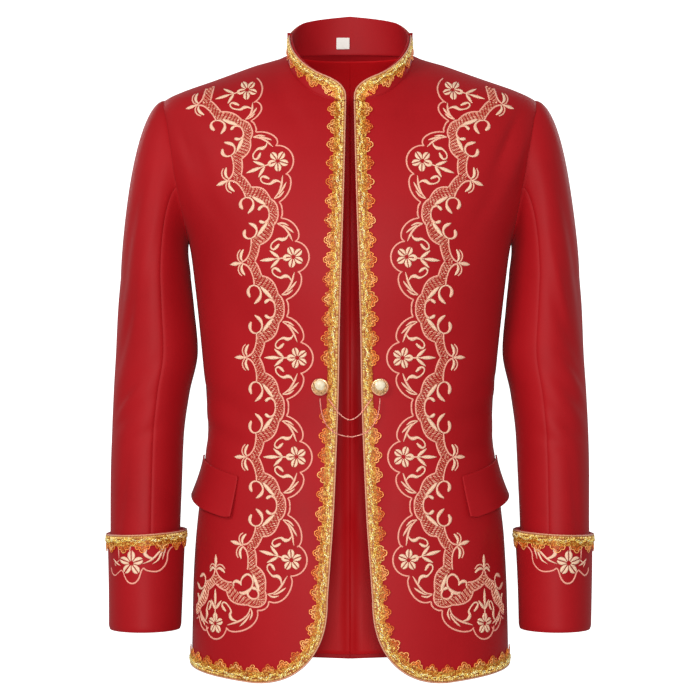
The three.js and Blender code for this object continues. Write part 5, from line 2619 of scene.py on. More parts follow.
# The C-scroll that hangs in the ribbon's bend.
C_SCROLL = (
    Stroke(
        ((27.9, -0.2), (28.6, -4), (31.6, -6.8), (36.3, -7.8), (41.9, -6.2)),
        (0.9, 1.0, 1.4, 2.1, 2.3, 1.0), 0.35,
    ),
    Stroke(
        ((27.9, -0.2), (30.2, 3.6), (34.8, 6), (39.4, 6.2), (44.5, 4.1), (50.1, -1.7)),
        (0.9, 1.0, 1.1, 1.3, 2.2, 2.0, 0.7), 0.3,
    ),
)
# The long leaf along the inside of the ribbon's bend.
BEND_LEAF = Stroke(
    ((29.7, 6.5), (35.3, 10.6), (40.4, 14.4), (45.5, 18.4)),
    swell(2.4, 0.2, 0.8, 1.0, 0.9, 0.3), 0.1,
)
# What the heart at the lower corner takes the place of, by flower and side of it.
HEART_ROOM = {(5, 1): C_SCROLL, (6, -1): (*C_SCROLL, BEND_LEAF)}
# At the lower corner both C-scrolls of a bend close into a heart. Its places are (length
# over the cloth from the centre front, level).
HEART_STROKES = (
    Stroke(
        ((137.4, -617.7), (138.2, -613.6), (133.8, -611.6), (129.6, -613.4), (127.3, -616.1)),
        (0.8, 1.4, 2.0, 1.8, 0.7), 0.3,
    ),
    Stroke(
        (
            (127.6, -616.4), (128.0, -611.3), (125.3, -606.5), (119.9, -603.3), (114.4, -606.0),
            (112.6, -612.5), (115.1, -619.1), (119.8, -623.0), (125.9, -625.0), (130.1, -623.8),
        ),
        (0.6, 1.0, 1.5, 1.4, 1.1, 1.0, 1.2, 2.2, 2.2, 0.9), 0.3,
    ),
)

# Every stroke round a flower of the vine.
VINE_STROKES = (
    # The scalloped border towards the front edge.
    Stroke(
        (
            (17.2, 47), (20.5, 49.4), (25.5, 50.2), (31.5, 49),
            (37, 46.2), (41.5, 42.5), (45, 38), (47.5, 32.8),
        ),
        SCALLOP, 0.9,
    ),
    Stroke(((47.5, 32.8), (51, 34.4), (57, 34.9)), SCALLOP, 0.9),
    # The ribbon's two outlines.
    Stroke(((0, 2.8), (4.6, 5.3), (11.8, 7.7), (17.4, 8.9)), SCALLOP, 0.8),
    Stroke(
        ((17.4, 8.9), (19.8, 13.8), (23.5, 18.3), (28.5, 21.5), (34.5, 23.5), (40.4, 24.8)),
        SCALLOP, 0.8,
    ),
    Stroke(((40.4, 24.8), (44, 27.5), (50, 29.8), (57, 30.4)), SCALLOP, 0.8),
    Stroke(
        ((0.5, -12.5), (1.6, -9.8), (3.4, -6.8), (7, -4.1), (12.5, -1.8), (18, -0.6)),
        (0.9, 1.2, 1.0, 0.9, 0.9), 0.7,
    ),
    Stroke(((18, -0.6), (23, -0.1), (27.9, -0.2)), SCALLOP, 0.7),
    Stroke(((46, 15.2), (47.6, 18.2), (51, 20.2), (57, 21)), (1.5, 1.3, 1.0, 0.9), 0.5),
    # The trefoil outside each flower.
    Stroke(
        ((0, -12.5), (0, -14.5), (0, -20), (0, -26.5)), swell(2.5, 0.3, 0.6, 1.0, 0.8, 0.15),
        0.2, mirrored=False,
    ),
    Stroke(
        ((0.6, -13), (3.2, -15.6), (7.5, -16.9), (11.5, -16), (15, -13)),
        (0.5, 0.9, 0.9, 0.9, 0.6), 0.6,
    ),
    Stroke(
        ((1.6, -11), (5, -12.8), (9.5, -12.4), (14.8, -9.4)), swell(1.9, 0.3, 0.8, 1.0, 0.9, 0.3), 0.1
    ),
    *C_SCROLL,
    BEND_LEAF,
    # The curl on the inside of the bend.
    Stroke(((49.8, 9.9), (47.4, 12.4), (46, 15.6)), (1.3, 2.1, 1.7, 1.1), 0.15),
    # The fan of leaves in the border's big lobe.
    Stroke(
        ((41.6, 28.4), (36.8, 34.4), (29.1, 39.4), (17.7, 43.6)),
        swell(1.3, 0.5, 0.8, 1.0, 1.0, 0.3), 0.5,
    ),
    Stroke(
        ((38.8, 34.2), (36.2, 37.4), (32.2, 41.2), (27.9, 45)),
        swell(1.25, 0.4, 0.8, 1.0, 1.0, 0.3), 0.4,
    ),
    Stroke(((41.9, 28.6), (41, 34.4), (36.8, 40.4)), swell(1.2, 0.4, 0.9, 1.0, 0.3), 0.4),
    # The curl between that lobe and the flower.
    Stroke(
        (
            (27.1, 39.8), (22.6, 37.2), (21.2, 33), (22.6, 29.2), (20.4, 24.6),
            (16.2, 21.2), (12.4, 20.9), (10.6, 23.6), (12.8, 26.8), (16.1, 29.6),
        ),
        (0.4, 1.2, 2.3, 1.7, 0.9, 0.9, 0.9, 1.2, 1.9, 0.9), 0.25,
    ),
    # The sprig between the flower and the ribbon.
    Stroke(((0, 36), (0, 24.8)), (1.0, 0.7), 0.3, mirrored=False),
    Stroke(((0, 24.8), (0, 17.5), (0, 8.2)), swell(2.2, 0.3, 0.9, 1.0, 0.7, 0.1), 0.15, mirrored=False),
    Stroke(((0.8, 29.1), (4.6, 24.9), (9.9, 19.3)), swell(2.0, 0.3, 0.9, 1.0, 0.7, 0.2), 0.15),
)

# A cuff's strokes: places are (outwards from the cuff's middle, level).
CUFF_STROKES = (
    Stroke(
        (
            (-43, -571.9), (-39.6, -572.9), (-31.9, -576.2), (-28.7, -582), (-28, -590.4),
            (-25.4, -596.8), (-19.6, -602), (-13.1, -602.6), (-5.4, -600.7), (-2.8, -598.4),
        ),
        SCALLOP, 0.9,
    ),
    Stroke(
        (
            (-2.8, -598.4), (-0.6, -600.7), (1.1, -605.9), (3.6, -611.7), (7.5, -615.6),
            (12, -616.2), (15.9, -614.3), (19.2, -609.1), (21.1, -603.9), (23.4, -601.4),
        ),
        SCALLOP, 0.9,
    ),
    Stroke(((23.4, -601.4), (26.9, -604.6), (31.7, -608.5), (35.3, -605.9), (36.8, -600)), SCALLOP, 0.9),
    Stroke(((-24.8, -570.3), (-26, -576.8), (-24.5, -583), (-23.2, -589.1)), swell(1.2), 0.3),
    Stroke(
        ((-24.8, -574.9), (-19.6, -580.7), (-13.8, -587.1), (-9.3, -590.4), (-1.5, -593.6)),
        swell(1.4), 0.2,
    ),
    Stroke(((-24.1, -576.2), (-20.9, -584.6), (-18.3, -589.7), (-12.5, -593.9)), swell(1.4), 0.2),
    Stroke(
        ((-13.8, -587.8), (-8, -585.9), (-4.1, -582), (-4.8, -577.5), (-6, -574.2), (-4.8, -568.4)),
        (0.9, 1.6, 2.2, 2.2, 1.2, 0.6), 0.2,
    ),
    Stroke(((21.7, -570.3), (21.7, -574.9), (23, -580.7)), swell(1.1), 0.7),
    Stroke(((26.9, -574.2), (26.6, -582), (26.3, -589.7)), swell(0.9), 0.7),
    Stroke(((33.4, -589.7), (28.8, -594.3), (23.7, -596.5)), swell(1.5), 0.3),
    Stroke(((29.2, -593.6), (25.2, -589.6)), swell(0.9), 0.3),
    Stroke(((32.1, -593.6), (29.6, -598.6)), swell(0.9), 0.3),
    Stroke(((11.4, -571.6), (13.3, -579.4), (12, -586.1)), swell(0.8), 0.7),
    Stroke(((10.8, -578.1), (8.1, -585)), swell(0.8), 0.7),
    Stroke(((2.4, -571), (-1.3, -577.4)), swell(1.4), 0.5),
)


# The ribbon between its outlines, from a flower to the middle of the next bend.
RIBBON = (
    Rung(0, 2.4, 0, -6.4),
    Rung(5, 4.9, 5, -4.4),
    Rung(12, 7.2, 12, -1.5),
    Rung(17.4, 8.6, 18, -0.2),
    Rung(20.4, 13.6, 23.2, 0.4),
    Rung(24, 17.8, 27.4, 1.6),
    Rung(28.7, 21.0, 31.2, 6.2),
    Rung(34.5, 23.0, 36, 10.8),
    Rung(40.2, 24.4, 41, 14.6),
    Rung(44.4, 27.2, 46, 18.4),
    Rung(50, 29.3, 51, 20.7),
    Rung(57, 30.0, 57, 21.6),
)


class Vine:
    """The embroidery's middle line down one front, and places beside it."""

    flowers = 7
    half_cell = 57.0  # half the way between two flowers in the strokes' own lengths
    stiff_part = 17.0  # near a flower those lengths are real ones
    breadth = 1.12  # the strokes' lengths towards the front edge grow by this
    hold = 0.2  # the part of the way to the next flower where the tilt stays the same
    # Vine length in flowers, length over the cloth from the centre front, level, and
    # degrees by which the way to the front edge climbs.
    line = Table(
        ["t", "over", "z", "tilt"],
        [
            [-0.25, 172.6, -38.0, 15.4],
            [0, 166.2, -61.1, 15.4],
            [0.5, 145.4, -105.0, 20],
            [1, 128.0, -150.0, 20.2],
            [1.5, 115.0, -198.0, 13],
            [2, 112.8, -247.7, 5.7],
            [2.5, 109.0, -302.0, 2],
            [3, 108.7, -356.7, -0.4],
            [4, 110.0, -470.2, 0.9],
            [4.5, 107.5, -523.0, -4],
            [5, 114.0, -573.8, -14.3],
            [5.2, 118.2, -590.3, -26],
            [5.5, 123.5, -612.5, -47],
            [5.8, 148.4, -613.4, -72],
            [6, 165.6, -612.6, -89.3],
            [6.25, 186.0, -615.0, -86],
            [6.5, 215.0, -621.0, -81],
        ],
    )

    def __init__(self) -> None:
        """Measures half the way from each flower to the next."""
        fine = np.linspace(0, self.flowers - 0.5, 600)
        run = lengths_along(self.frame(fine)[0])
        ends = np.interp(np.arange(self.flowers), fine, run)
        self.halves = [*np.diff(ends) / 2, run[-1] - ends[-1]]

    def frame(self, t: Array) -> tuple[Array, Array, Array]:
        """The line's places, with its directions along and towards the front edge.

        Args:
            t: Vine lengths in flowers.

        Returns:
            Places, and unit directions on and towards the edge.
        """
        over, z = (self.line.at(name, t) for name in ("over", "z"))
        nearest = np.round(t)
        past = np.maximum(0, np.abs(t - nearest) - self.hold) * 0.5 / (0.5 - self.hold)
        tilt = np.radians(self.line.at("tilt", nearest + np.sign(t - nearest) * past))
        on = np.stack([-np.sin(tilt), -np.cos(tilt)], axis=-1)
        toward = np.stack([-np.cos(tilt), np.sin(tilt)], axis=-1)
        return np.stack([over, z], axis=-1), on, toward

    def bent(self, flower: int, places: Array) -> Array:
        """Flat places (length over the cloth, level) that bend with the line.

        Args:
            flower: The flower that they belong to.
            places: (along, toward) pairs.

        Returns:
            The flat places.
        """
        along = places[:, 0]
        ahead, behind = self.halves[flower], self.halves[max(0, flower - 1)]
        half = np.where(along > 0, ahead, behind)
        past = np.maximum(0, np.abs(along) - self.stiff_part)
        stretch = (half - self.stiff_part) / (self.half_cell - self.stiff_part)
        real = np.minimum(np.abs(along), self.stiff_part) + past * stretch
        at, _, toward = self.frame(flower + np.sign(along) * real / (2 * half))
        return at + toward * places[:, 1:] * self.breadth

    def stiff(self, flower: int, toward_by: float, places: Array) -> Array:
        """Flat places that keep their shape, round a point beside a flower's place.

        Args:
            flower: The flower.
            toward_by: The point's distance from the line.
            places: (along, toward) pairs round it.

        Returns:
            The flat places.
        """
        at, on, toward = self.frame(np.array(float(flower)))
        middle = at + toward * toward_by
        return middle + places[:, :1] * on + places[:, 1:] * toward


@dataclass
class Embroidery:
    """Champagne satin stitch: a scrolling ribbon with flowers on each front and cuff."""

    body: BodyForm
    cuff: CuffForm
    wardrobe: Wardrobe
    copier: Copier
    slot: str = "embroidery"
    station: float = 1.5
    crown: float = 0.75  # the most that a stroke stands up
    # A stroke's section: shares of its half width, and of its height.
    section: tuple[tuple[float, float], ...] = (
        (-1.0, 0.0), (-0.62, 0.72), (0.0, 1.0), (0.62, 0.72), (1.0, 0.0), (0.0, -0.25),
    )
    flower_out: float = 48.8
    flower_arc: float = 18.0
    arc_start: float = 0.065  # in half turns from the vine's own direction
    top_arc_end: float = 0.72
    petals: int = 5
    petal_from: float = 2.2
    petal_to: float = 12.0
    petal_half: float = 4.1
    petal_gap: float = 0.42
    petal_shape: tuple[float, ...] = (0.28, 0.62, 0.92, 1.0, 0.82, 0.3)
    side_stop: float = 233.0  # nothing is worked past this length over the cloth
    top_stop: float = -6.0  # nor above this level
    top_reach: float = 21.8  # nor this far up the vine from the top flower
    hatch_pitch: float = 2.1
    hatch_thick: float = 1.05
    hatch_rows: int = 3
    hatch_lean: float = 2.6
    hatch_up: float = 0.15
    hatch_ends: tuple[float, float] = (0.06, 0.94)  # a stitch's share of its row
    shortest_stitch: float = 0.6
    top_hatch: float = 18.5  # the ribbon's length above the top flower
    cuff_flower: tuple[float, float] = (11.5, -593.0)
    cuff_scale: float = 1.15
    bold: float = 1.05

    def stroke_mesh(self, gather: Gather, line: Array, up: Array, widths: Array, warmth: float) -> None:
        """Adds a crowned strip of stitches.

        Args:
            gather: The mesh that is being made.
            line: Its middle line on the cloth.
            up: The cloth's outward direction at each point.
            widths: Half widths at each point.
            warmth: How pink its thread is.
        """
        on, out, across = frames(line, up)
        flat, rise = np.array(self.section).T
        high = np.minimum(self.crown, 0.3 + 0.3 * widths)[:, None, None]
        side = across[:, None] * (flat[None, :, None] * widths[:, None, None])
        points = line[:, None] + side + out[:, None] * (rise[None, :, None] * high)
        count = len(flat)
        faces = [face[::-1] for face in tube_faces(len(line), count)]
        run = lengths_along(line) * MM
        uv = []
        for i in range(len(line) - 1):
            for j in range(count):
                k = (j + 1) % count
                a, b = flat[j] * widths[i] * MM, flat[k] * widths[i] * MM
                uv += [[a, run[i + 1]], [b, run[i + 1]], [b, run[i]], [a, run[i]]]
        uv += [[0, run[0]]] * count + [[0, run[-1]]] * count
        gather.add(points.reshape(-1, 3), faces, np.array(uv), warmth)

    def work(
        self,
        gather: Gather,
        flat: Array,
        widths: Sequence[float],
        warmth: float,
        place: OnCoat,
    ) -> None:
        """Works one stroke that is given in flat places.

        Args:
            gather: The mesh that is being made.
            flat: The stroke's middle line.
            widths: Half widths from end to end.
            warmth: How pink its thread is.
            place: Turns flat places and a height into points on the coat.
        """
        line = evenly(flat, self.station)
        if len(line) < 3:  # a short stroke still has three steps
            line = evenly(flat, lengths_along(flat)[-1] / 3)
        points = place(line, 0.0)
        share = lengths_along(line) / lengths_along(line)[-1]
        half = np.interp(share, shares(len(widths) - 1), widths) * self.bold
        self.stroke_mesh(gather, points, place(line, 1.0) - points, half, warmth)

    def flower(
        self,
        gather: Gather,
        turn_place: Callable[[Array], Array],
        place: OnCoat,
        scale: float = 1.0,
    ) -> None:
        """A flower of split petals round an open eye.

        Args:
            gather: The mesh that is being made.
            turn_place: Turns places round the flower's eye into flat places.
            place: Turns flat places and a height into points on the coat.
            scale: The flower's size, 1 on the fronts.
        """
        radius = lerp(self.petal_from, self.petal_to, shares(len(self.petal_shape) - 1)) * scale
        half = self.petal_half * scale * np.array(self.petal_shape)
        for petal in range(self.petals):
            angle = 2 * np.pi * petal / self.petals - np.pi / 2
            axis = np.array([math.cos(angle), math.sin(angle)])
            beside = np.array([-axis[1], axis[0]])
            for hand in (-1, 1):
                middle = (self.petal_gap + half) / 2
                line = radius[:, None] * axis + (hand * middle)[:, None] * beside
                self.work(gather, turn_place(line), list((half - self.petal_gap) / 2), 0.05, place)

    def front(self, name: str, side: int, cloth: ClothMap) -> None:
        """One front's embroidery.

        Args:
            name: Left or right.
            side: 1 for the wearer's left, -1 for the right.
            cloth: Finds places over the cloth.
        """
        vine = Vine()
        gather = Gather()

        def place(flat: Array, out: float) -> Array:
            """Points on the front, out from its cloth.

            Args:
                flat: (length, level) pairs.
                out: The height.

            Returns:
                The points.
            """
            angle = cloth.angle(flat[..., 0], flat[..., 1])
            return self.body.point(angle, flat[..., 1], out + 0 * angle, side)

        for flower in range(vine.flowers):
            self.flower(gather, lambda q, n=flower: vine.stiff(n, self.flower_out, q), place)
            last = self.top_arc_end if flower == 0 else 1 - self.arc_start
            turn = np.linspace(self.arc_start, last, 21) * np.pi
            arc = np.stack([np.cos(turn), np.sin(turn)], axis=1) * self.flower_arc
            self.work(gather, vine.stiff(flower, self.flower_out, arc), SCALLOP, 0.9, place)
            for stroke, hand in product(VINE_STROKES, (1, -1)):
                reach = max(along for along, _ in stroke.places)
                past_top = flower == 0 and hand < 0 and reach > self.top_reach
                twice = hand < 0 and not stroke.mirrored
                if past_top or twice or stroke in HEART_ROOM.get((flower, hand), ()):
                    continue
                flat = vine.bent(flower, catmull_rom(np.array(stroke.places) * [hand, 1], 5))
                if flat[:, 0].max() < self.side_stop and flat[:, 1].max() < self.top_stop:
                    self.work(gather, flat, stroke.widths, stroke.warmth, place)
        for stroke in HEART_STROKES:
            flat = catmull_rom(np.array(stroke.places), 5)
            self.work(gather, flat, stroke.widths, stroke.warmth, place)
        dress(gather.build(f"embroidery_front_{name}", self.wardrobe.thread, "warmth"), self.slot)
        self.hatch(name, vine, place)

    def on_cuff(self, name: str, side: int) -> None:
        """One cuff's embroidery.

        Args:
            name: Left or right.
            side: 1 for the wearer's left, -1 for the right.
        """
        gather = Gather()
        form = self.cuff

        def place(flat: Array, out: float) -> Array:
            """Points on the cuff's front, out from its cloth.

            Args:
                flat: (outwards, level) pairs.
                out: The height.

            Returns:
                The points.
            """
            z = flat[..., 1]
            rings = form.sleeve.rings
            half = (rings.at("outer", z) - rings.at("inner", z)) / 2 + form.wall + form.stand
            turn = np.arccos(np.clip(flat[..., 0] / half, -0.98, 0.98))
            top = form.top - form.top_rise / 2 * np.cos(turn)
            return form.point(turn, (z - form.bottom) / (top - form.bottom), out + 0 * z, side)

        middle = np.array(self.cuff_flower)
        self.flower(gather, lambda q: middle + q * [1, -1], place, self.cuff_scale)
        for stroke in CUFF_STROKES:
            flat = catmull_rom(np.array(stroke.places), 5)
            self.work(gather, flat, stroke.widths, stroke.warmth, place)
        dress(gather.build(f"embroidery_cuff_{name}", self.wardrobe.thread, "warmth"), self.slot)

    def build(self) -> None:
        """Works both fronts and both cuffs."""
        cloth = ClothMap(self.body)
        for name, side in SIDES.items():
            self.front(name, side, cloth)
            self.on_cuff(name, side)

    def hatch(self, name: str, vine: Vine, place: OnCoat) -> None:
        """The slanting stitches that fill the ribbon, in staggered rows.

        Args:
            name: Left or right.
            vine: The line of the ribbon.
            place: Puts flat places on the front.
        """
        rungs = np.array(RIBBON)
        run = lengths_along((rungs[:, :2] + rungs[:, 2:]) / 2)
        rows, up = self.hatch_rows, self.hatch_up
        starts, ends = [], []
        for flower, hand in product(range(vine.flowers), (-1, 1)):
            last = self.top_hatch if flower == 0 and hand < 0 else run[-1]
            stops = np.arange(self.hatch_pitch / 2, last, self.hatch_pitch)
            shift = np.arange(len(stops)) % 2 / 2
            for row in range(rows + 1):
                for found, end in zip((starts, ends), self.hatch_ends):
                    part = np.clip((row + end - shift) / rows, 0, 1)
                    at = stops + (part - 0.5) * self.hatch_lean
                    rung = [np.interp(at, run, rungs[:, k]) for k in range(4)]
                    places = [lerp(rung[2], rung[0], part) * hand, lerp(rung[3], rung[1], part)]
                    found.append(vine.bent(flower, np.stack(places, axis=1)))
        starts, ends = np.concatenate(starts), np.concatenate(ends)
        kept = np.maximum(starts[:, 0], ends[:, 0]) < self.side_stop
        kept &= np.linalg.norm(ends - starts, axis=1) > self.shortest_stitch
        first, last = place(starts[kept], up), place(ends[kept], up)
        middle = (starts[kept] + ends[kept]) / 2
        at = place(middle, up)
        size = np.full((len(at), 3), self.hatch_thick)
        size[:, 0] = np.linalg.norm(last - first, axis=1)
        places = Places(at, place(middle, 1 + up) - at, unit(last - first), size)
        grain, fill = self.copier.shared("grain"), self.wardrobe.fill
        made = self.copier.copies(
            f"embroidery_fill_{name}", grain, places, fill, seed=5, grow=0.1, turn=0.08
        )
        dress(made, self.slot)

# ------------------------------------------------------------------ chains and buttons
class Stop(NamedTuple):
    """A stop on a chain's route: x and z, and how far out from the form."""

    x: float
    z: float
    out: float


@dataclass
class Chains:
    """The two fine chains that hang between the buttons."""

    body: BodyForm
    wardrobe: Wardrobe
    copier: Copier
    diameter: float = 1.8
    link_long: float = 2.7
    link_pitch: float = 1.62
    seed: int = 31
    wire: float = 0.24  # the link's wire's radius, in links' breadths
    steps: int = 24  # of a path along the chain, which is worked out but not used
    routes: dict[str, list[Stop]] = field(
        default_factory=lambda: {
            "upper": [
                Stop(0, -427, 3.2),
                Stop(7.5, -424, 3.2),
                Stop(14, -417.5, 3.6),
                Stop(20, -409, 4.2),
                Stop(24.8, -402.5, 4.2),
            ],
            "lower": [
                Stop(0, -446.5, 3.2),
                Stop(9.5, -444.8, 3.2),
                Stop(18.5, -441, 3.7),
                Stop(26.5, -432.5, 3.9),
                Stop(31.5, -420, 3.9),
                Stop(33.2, -409, 3.9),
                Stop(33.6, -402, 4.4),
            ],
        }
    )

    def line(self, route: list[Stop]) -> Array:
        """The smooth line of a chain from the right button to the left.

        Args:
            route: The stops from the middle to the left button.

        Returns:
            The line's points.
        """
        half = []
        for stop in route:
            p = self.body.ring(self.body.angle_at_x(np.array(max(stop.x, 1e-3)), stop.z), stop.z)
            half.append(p + self.body.normal(p) * stop.out)
        right = [p * [-1, 1, 1] for p in half[:0:-1]]
        return catmull_rom(np.array(right + half), 12)

    def build(self) -> None:
        link = ring_shape("chain_link", sides=10, section=6, thick=self.wire)
        for word, route in self.routes.items():
            line = self.line(route)
            length = lengths_along(line)[-1]
            at = evenly(line, self.link_pitch)
            on = unit(np.gradient(at, axis=0))
            normal = self.body.normal(at)
            across = unit(np.cross(normal, on))
            flat = np.arange(len(at))[:, None] % 2 == 0
            out = np.where(flat, unit(normal + across), unit(normal - across))
            size = np.tile([self.link_long, self.diameter, self.diameter], (len(at), 1))
            piece = self.copier.copies(
                f"chain_links_{word}",
                link,
                Places(at[1:-1], out[1:-1], on[1:-1], size[1:-1]),
                self.wardrobe.chain,
                self.seed,
            )
            dress(piece, "chain_gold")
            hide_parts(f"chain_{word}")
            path = evenly(line, length / self.steps) * MM
            LOG.info("%s: %d links, %.1f mm", piece.name, len(at) - 2, length)


def lathe(profile: Array, count: int) -> tuple[Array, list[list[int]]]:
    """A closed shape turned round the Z axis.

    Args:
        profile: (radius, height) from the axis below to the axis above.
        count: Steps round it.

    Returns:
        Its points and faces.
    """
    inner = profile[1:-1]
    turn = 2 * np.pi * np.arange(count) / count
    x = inner[:, :1] * np.cos(turn)[None, :]
    y = inner[:, :1] * np.sin(turn)[None, :]
    z = np.broadcast_to(inner[:, 1:], x.shape)
    points = np.stack([x, y, z], axis=-1).reshape(-1, 3)
    faces = []
    for row in range(len(inner) - 1):
        for k in range(count):
            n = (k + 1) % count
            near, far = row * count, (row + 1) * count
            faces.append([near + k, near + n, far + n, far + k])
    below, above = len(points), len(points) + 1
    last = (len(inner) - 1) * count
    for k in range(count):
        n = (k + 1) % count
        faces.append([below, n, k])
        faces.append([above, last + k, last + n])
    ends = np.array([[0, 0, profile[0][1]], [0, 0, profile[-1][1]]])
    return np.concatenate([points, ends]), faces


@dataclass
class Buttons:
    """Both buttons: a gilt cup, a twisted rim, grains of gilt and a pale cut stone."""

    body: BodyForm
    wardrobe: Wardrobe
    copier: Copier
    slot: str = "button_gold"
    x: float = 33.7
    z: float = -389.5
    cup: tuple[tuple[float, float], ...] = (
        (0, 0.7), (3.3, 0.7), (3.5, 1.0), (3.5, 2.3), (3.9, 2.5), (8.8, 2.6), (9.6, 3.0),
        (9.95, 3.6), (9.6, 4.1), (8.8, 4.3), (8.2, 4.3), (7.4, 5.0), (5.2, 5.7), (0, 5.9),
    )
    stone: tuple[tuple[float, float], ...] = (
        (0, 4.9), (5.5, 4.9), (6.0, 5.6), (5.5, 6.9), (4.1, 8.0), (2.0, 8.7), (0, 8.8),
    )
    stone_up: float = 2.2  # the stone sits above the button's middle
    facets: int = 12
    cup_steps: int = 56
    rim_at: tuple[float, float] = (9.2, 4.3)  # radius and height
    rim_size: tuple[float, float, float] = (1.9, 1.15, 1.35)
    rim_count: int = 40
    rim_slant: float = 0.6
    splay: float = 0.35  # how far the rim and the grains lean outwards
    # Rings of grains: radius, height, size and count.
    rings: tuple[tuple[float, float, float, int], ...] = (
        (8.05, 4.75, 1.15, 44), (6.95, 5.3, 1.1, 38), (5.8, 5.7, 1.1, 32), (4.6, 5.9, 1.1, 26),
    )

    def frame(self, side: int) -> tuple[Array, Array]:
        """The button's seat on the cloth, and its own X, Y and Z directions as rows.

        Args:
            side: 1 for the wearer's left, -1 for the right.

        Returns:
            The seat, and the three directions.
        """
        seat = self.body.ring(self.body.angle_at_x(np.array(self.x), self.z), self.z)
        out = self.body.normal(seat) * [side, 1, 1]
        across = unit(np.cross([0.0, 0, 1], out))
        return seat * [side, 1, 1], np.stack([across, np.cross(out, across), out])

    def ring_places(
        self, radius: float, height: float, size: Sequence[float], count: int, side: int
    ) -> Places:
        """Places round the button for copies of one size.

        Args:
            radius: The ring's radius.
            height: Its height over the cloth.
            size: The size of a copy.
            count: How many.
            side: 1 for the wearer's left, -1 for the right.

        Returns:
            The places.
        """
        seat, axes = self.frame(side)
        turn = 2 * np.pi * np.arange(count) / count
        flat = np.stack([np.cos(turn), np.sin(turn), 0 * turn], axis=1)
        on = np.stack([-np.sin(turn), np.cos(turn), 0 * turn], axis=1)
        at = (flat * radius + [0, 0, height]) @ axes + seat
        out = unit(flat * self.splay + [0, 0, 1]) @ axes
        return Places(at, out, on @ axes, np.tile(np.asarray(size, float), (count, 1)))

    def cut_stone(self, name: str, side: int) -> bpy.types.Object:
        """The stone, with every other ring of facets turned half a step.

        Args:
            name: Left or right.
            side: 1 for the wearer's left, -1 for the right.

        Returns:
            The new piece.
        """
        seat, axes = self.frame(side)
        points, faces = lathe(np.array(self.stone), self.facets)
        ring_count = len(self.stone) - 2
        half = np.pi / self.facets
        for row in range(2, ring_count):
            part = points[row * self.facets : (row + 1) * self.facets]
            turn = half * (row - 1)
            spin = np.array([[math.cos(turn), math.sin(turn)], [-math.sin(turn), math.cos(turn)]])
            part[:, :2] = part[:, :2] @ spin
        sharp = []
        for face in faces:
            sharp += [[face[0], *pair] for pair in zip(face[1:], face[2:])]
        points = (points + [0, self.stone_up, 0]) @ axes + seat
        stone = make_object(f"button_stone_{name}", points, sharp, None, self.wardrobe.stone)
        stone.data.shade_flat()
        return stone

    def build(self) -> None:
        """Makes both buttons."""
        bead = bead_shape("button_grain", around=8, levels=5)
        for name, side in SIDES.items():
            seat, axes = self.frame(side)
            points, faces = lathe(np.array(self.cup), self.cup_steps)
            points, gilt = points @ axes + seat, self.wardrobe.gilt
            cup = dress(make_object(f"button_cup_{name}", points, faces, None, gilt), self.slot)
            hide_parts(f"button_{name}")
            dress(self.cut_stone(name, side), self.slot)
            places = self.ring_places(*self.rim_at, self.rim_size, self.rim_count, side)
            places.run = unit(places.run + self.rim_slant * np.cross(places.out, places.run))
            rim = self.copier.copies(f"button_rim_{name}", bead, places, self.wardrobe.rim, 7)
            dress(rim, self.slot)
            grains = Places.joined(
                self.ring_places(r, h, [d, d, d], count, side) for r, h, d, count in self.rings
            )
            made = self.copier.copies(f"button_grains_{name}", bead, grains, gilt, 13, grow=0.12)
            dress(made, self.slot)


# ------------------------------------------------------------------ studio
class Lamp(NamedTuple):
    """A soft square light aimed at the coat's middle."""

    name: str
    at: tuple[float, float, float]
    power: float
    size: float


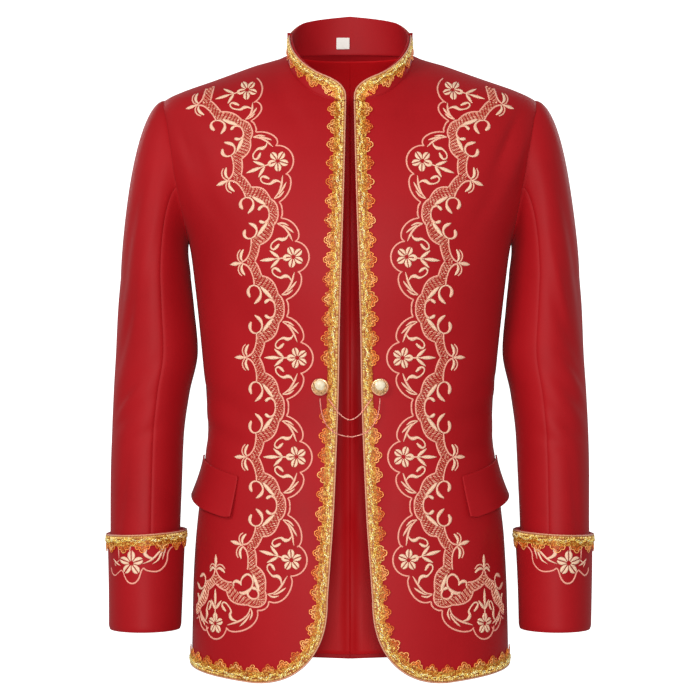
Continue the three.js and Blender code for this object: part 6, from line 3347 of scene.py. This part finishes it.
@dataclass
class Studio:
    """A camera in front, a pale floor that sweeps up all round, and soft lights."""

    middle: tuple[float, float, float] = (0.0, 0.0, -0.348)
    camera_back: float = 3.0
    lens: float = 130.8
    sensor: float = 36.0
    floor_z: float = -1.5
    sweep: tuple[tuple[float, float], ...] = (
        (0.0, 0.0), (4.4, 0.0), (4.8, 0.06), (5.06, 0.24), (5.2, 0.6), (5.2, 5.5),
    )
    sweep_steps: int = 48
    backdrop_light: float = 1.0
    sky: float = 0.36
    lamps: tuple[Lamp, ...] = (
        Lamp("front", (0.0, -3.3, -0.15), 66.0, 0.35),
        Lamp("key", (-1.9, -2.2, 1.0), 30.0, 1.0),
        Lamp("back_left", (-1.8, 2.4, 0.9), 18.0, 1.4),
        Lamp("back_right", (1.8, 2.4, 0.9), 18.0, 1.4),
    )

    def camera(self) -> None:
        """A level camera that looks at the coat's front."""
        data = bpy.data.cameras.new("camera")
        data.lens, data.sensor_width = self.lens, self.sensor
        made = bpy.data.objects.new("camera", data)
        made.location = (self.middle[0], -self.camera_back, self.middle[2])
        made.rotation_euler = (math.pi / 2, 0, 0)
        bpy.context.scene.collection.objects.link(made)
        bpy.context.scene.camera = made

    def backdrop(self) -> None:
        """The floor and its sweep, bright enough to be plain white."""
        count = self.sweep_steps
        points = [[0.0, 0.0, self.floor_z]]
        for radius, rise in self.sweep[1:]:
            for k in range(count):
                turn = 2 * math.pi * k / count
                points.append([radius * math.cos(turn), radius * math.sin(turn), self.floor_z + rise])
        faces = [[0, 1 + k, 1 + (k + 1) % count] for k in range(count)]
        for row in range(len(self.sweep) - 2):
            near, far = 1 + row * count, 1 + (row + 1) * count
            for k in range(count):
                n = (k + 1) % count
                faces.append([near + k, far + k, far + n, near + n])
        bowl = make_object("backdrop", np.array(points) / MM, faces)
        material = bpy.data.materials.new("backdrop_white")
        material.use_nodes = True
        shader = material.node_tree.nodes["Principled BSDF"]
        shader.inputs["Base Color"].default_value = (0.9, 0.9, 0.9, 1)
        shader.inputs["Emission Color"].default_value = (1, 1, 1, 1)
        shader.inputs["Emission Strength"].default_value = self.backdrop_light
        bowl.data.materials.append(material)
        bowl.visible_diffuse = bowl.visible_glossy = bowl.visible_shadow = False
        bowl.visible_transmission = False

    def light(self) -> None:
        """The world's even light and the soft lamps."""
        world = bpy.data.worlds.new("studio_world")
        world.use_nodes = True
        sky = world.node_tree.nodes["Background"]
        sky.inputs["Color"].default_value = (1, 1, 1, 1)
        sky.inputs["Strength"].default_value = self.sky
        bpy.context.scene.world = world
        for lamp in self.lamps:
            data = bpy.data.lights.new(lamp.name, "AREA")
            data.energy, data.size = lamp.power, lamp.size
            made = bpy.data.objects.new(lamp.name, data)
            made.location = lamp.at
            way = Vector(self.middle) - Vector(lamp.at)
            made.rotation_euler = way.to_track_quat("-Z", "Y").to_euler()
            bpy.context.scene.collection.objects.link(made)

    def build(self) -> None:
        """Sets the studio up."""
        bpy.context.scene.view_settings.view_transform = "Standard"
        self.camera()
        self.backdrop()
        self.light()


def main() -> None:
    """Makes the studio and the coat, piece by piece."""
    logging.basicConfig(level=logging.INFO, format="%(name)s: %(message)s")
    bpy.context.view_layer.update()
    Studio().build()
    body = BodyForm()
    wardrobe = Wardrobe()
    copier = Copier()
    Chains(body, wardrobe, copier).build()
    collar = CollarForm(body)
    sleeve = SleeveForm(body)
    cuff = CuffForm(sleeve)
    ClothPieces(body, collar, sleeve, cuff, wardrobe).build()
    braid = PicotBraid(wardrobe, copier, body)
    for seed, (name, side) in enumerate(SIDES.items()):
        braid.build(f"front_{name}", FrontTrack(body, side, braid.pitch), 100 + seed)
        braid.build(f"cuff_{name}", CuffTrack(cuff, side), 200 + seed)
    braid.build("collar", CollarTrack(collar, braid.seat, braid.pitch), 300)
    Embroidery(body, cuff, wardrobe, copier).build()
    Buttons(body, wardrobe, copier).build()
    copier.remove_units()


if __name__ == "__main__":
    main()
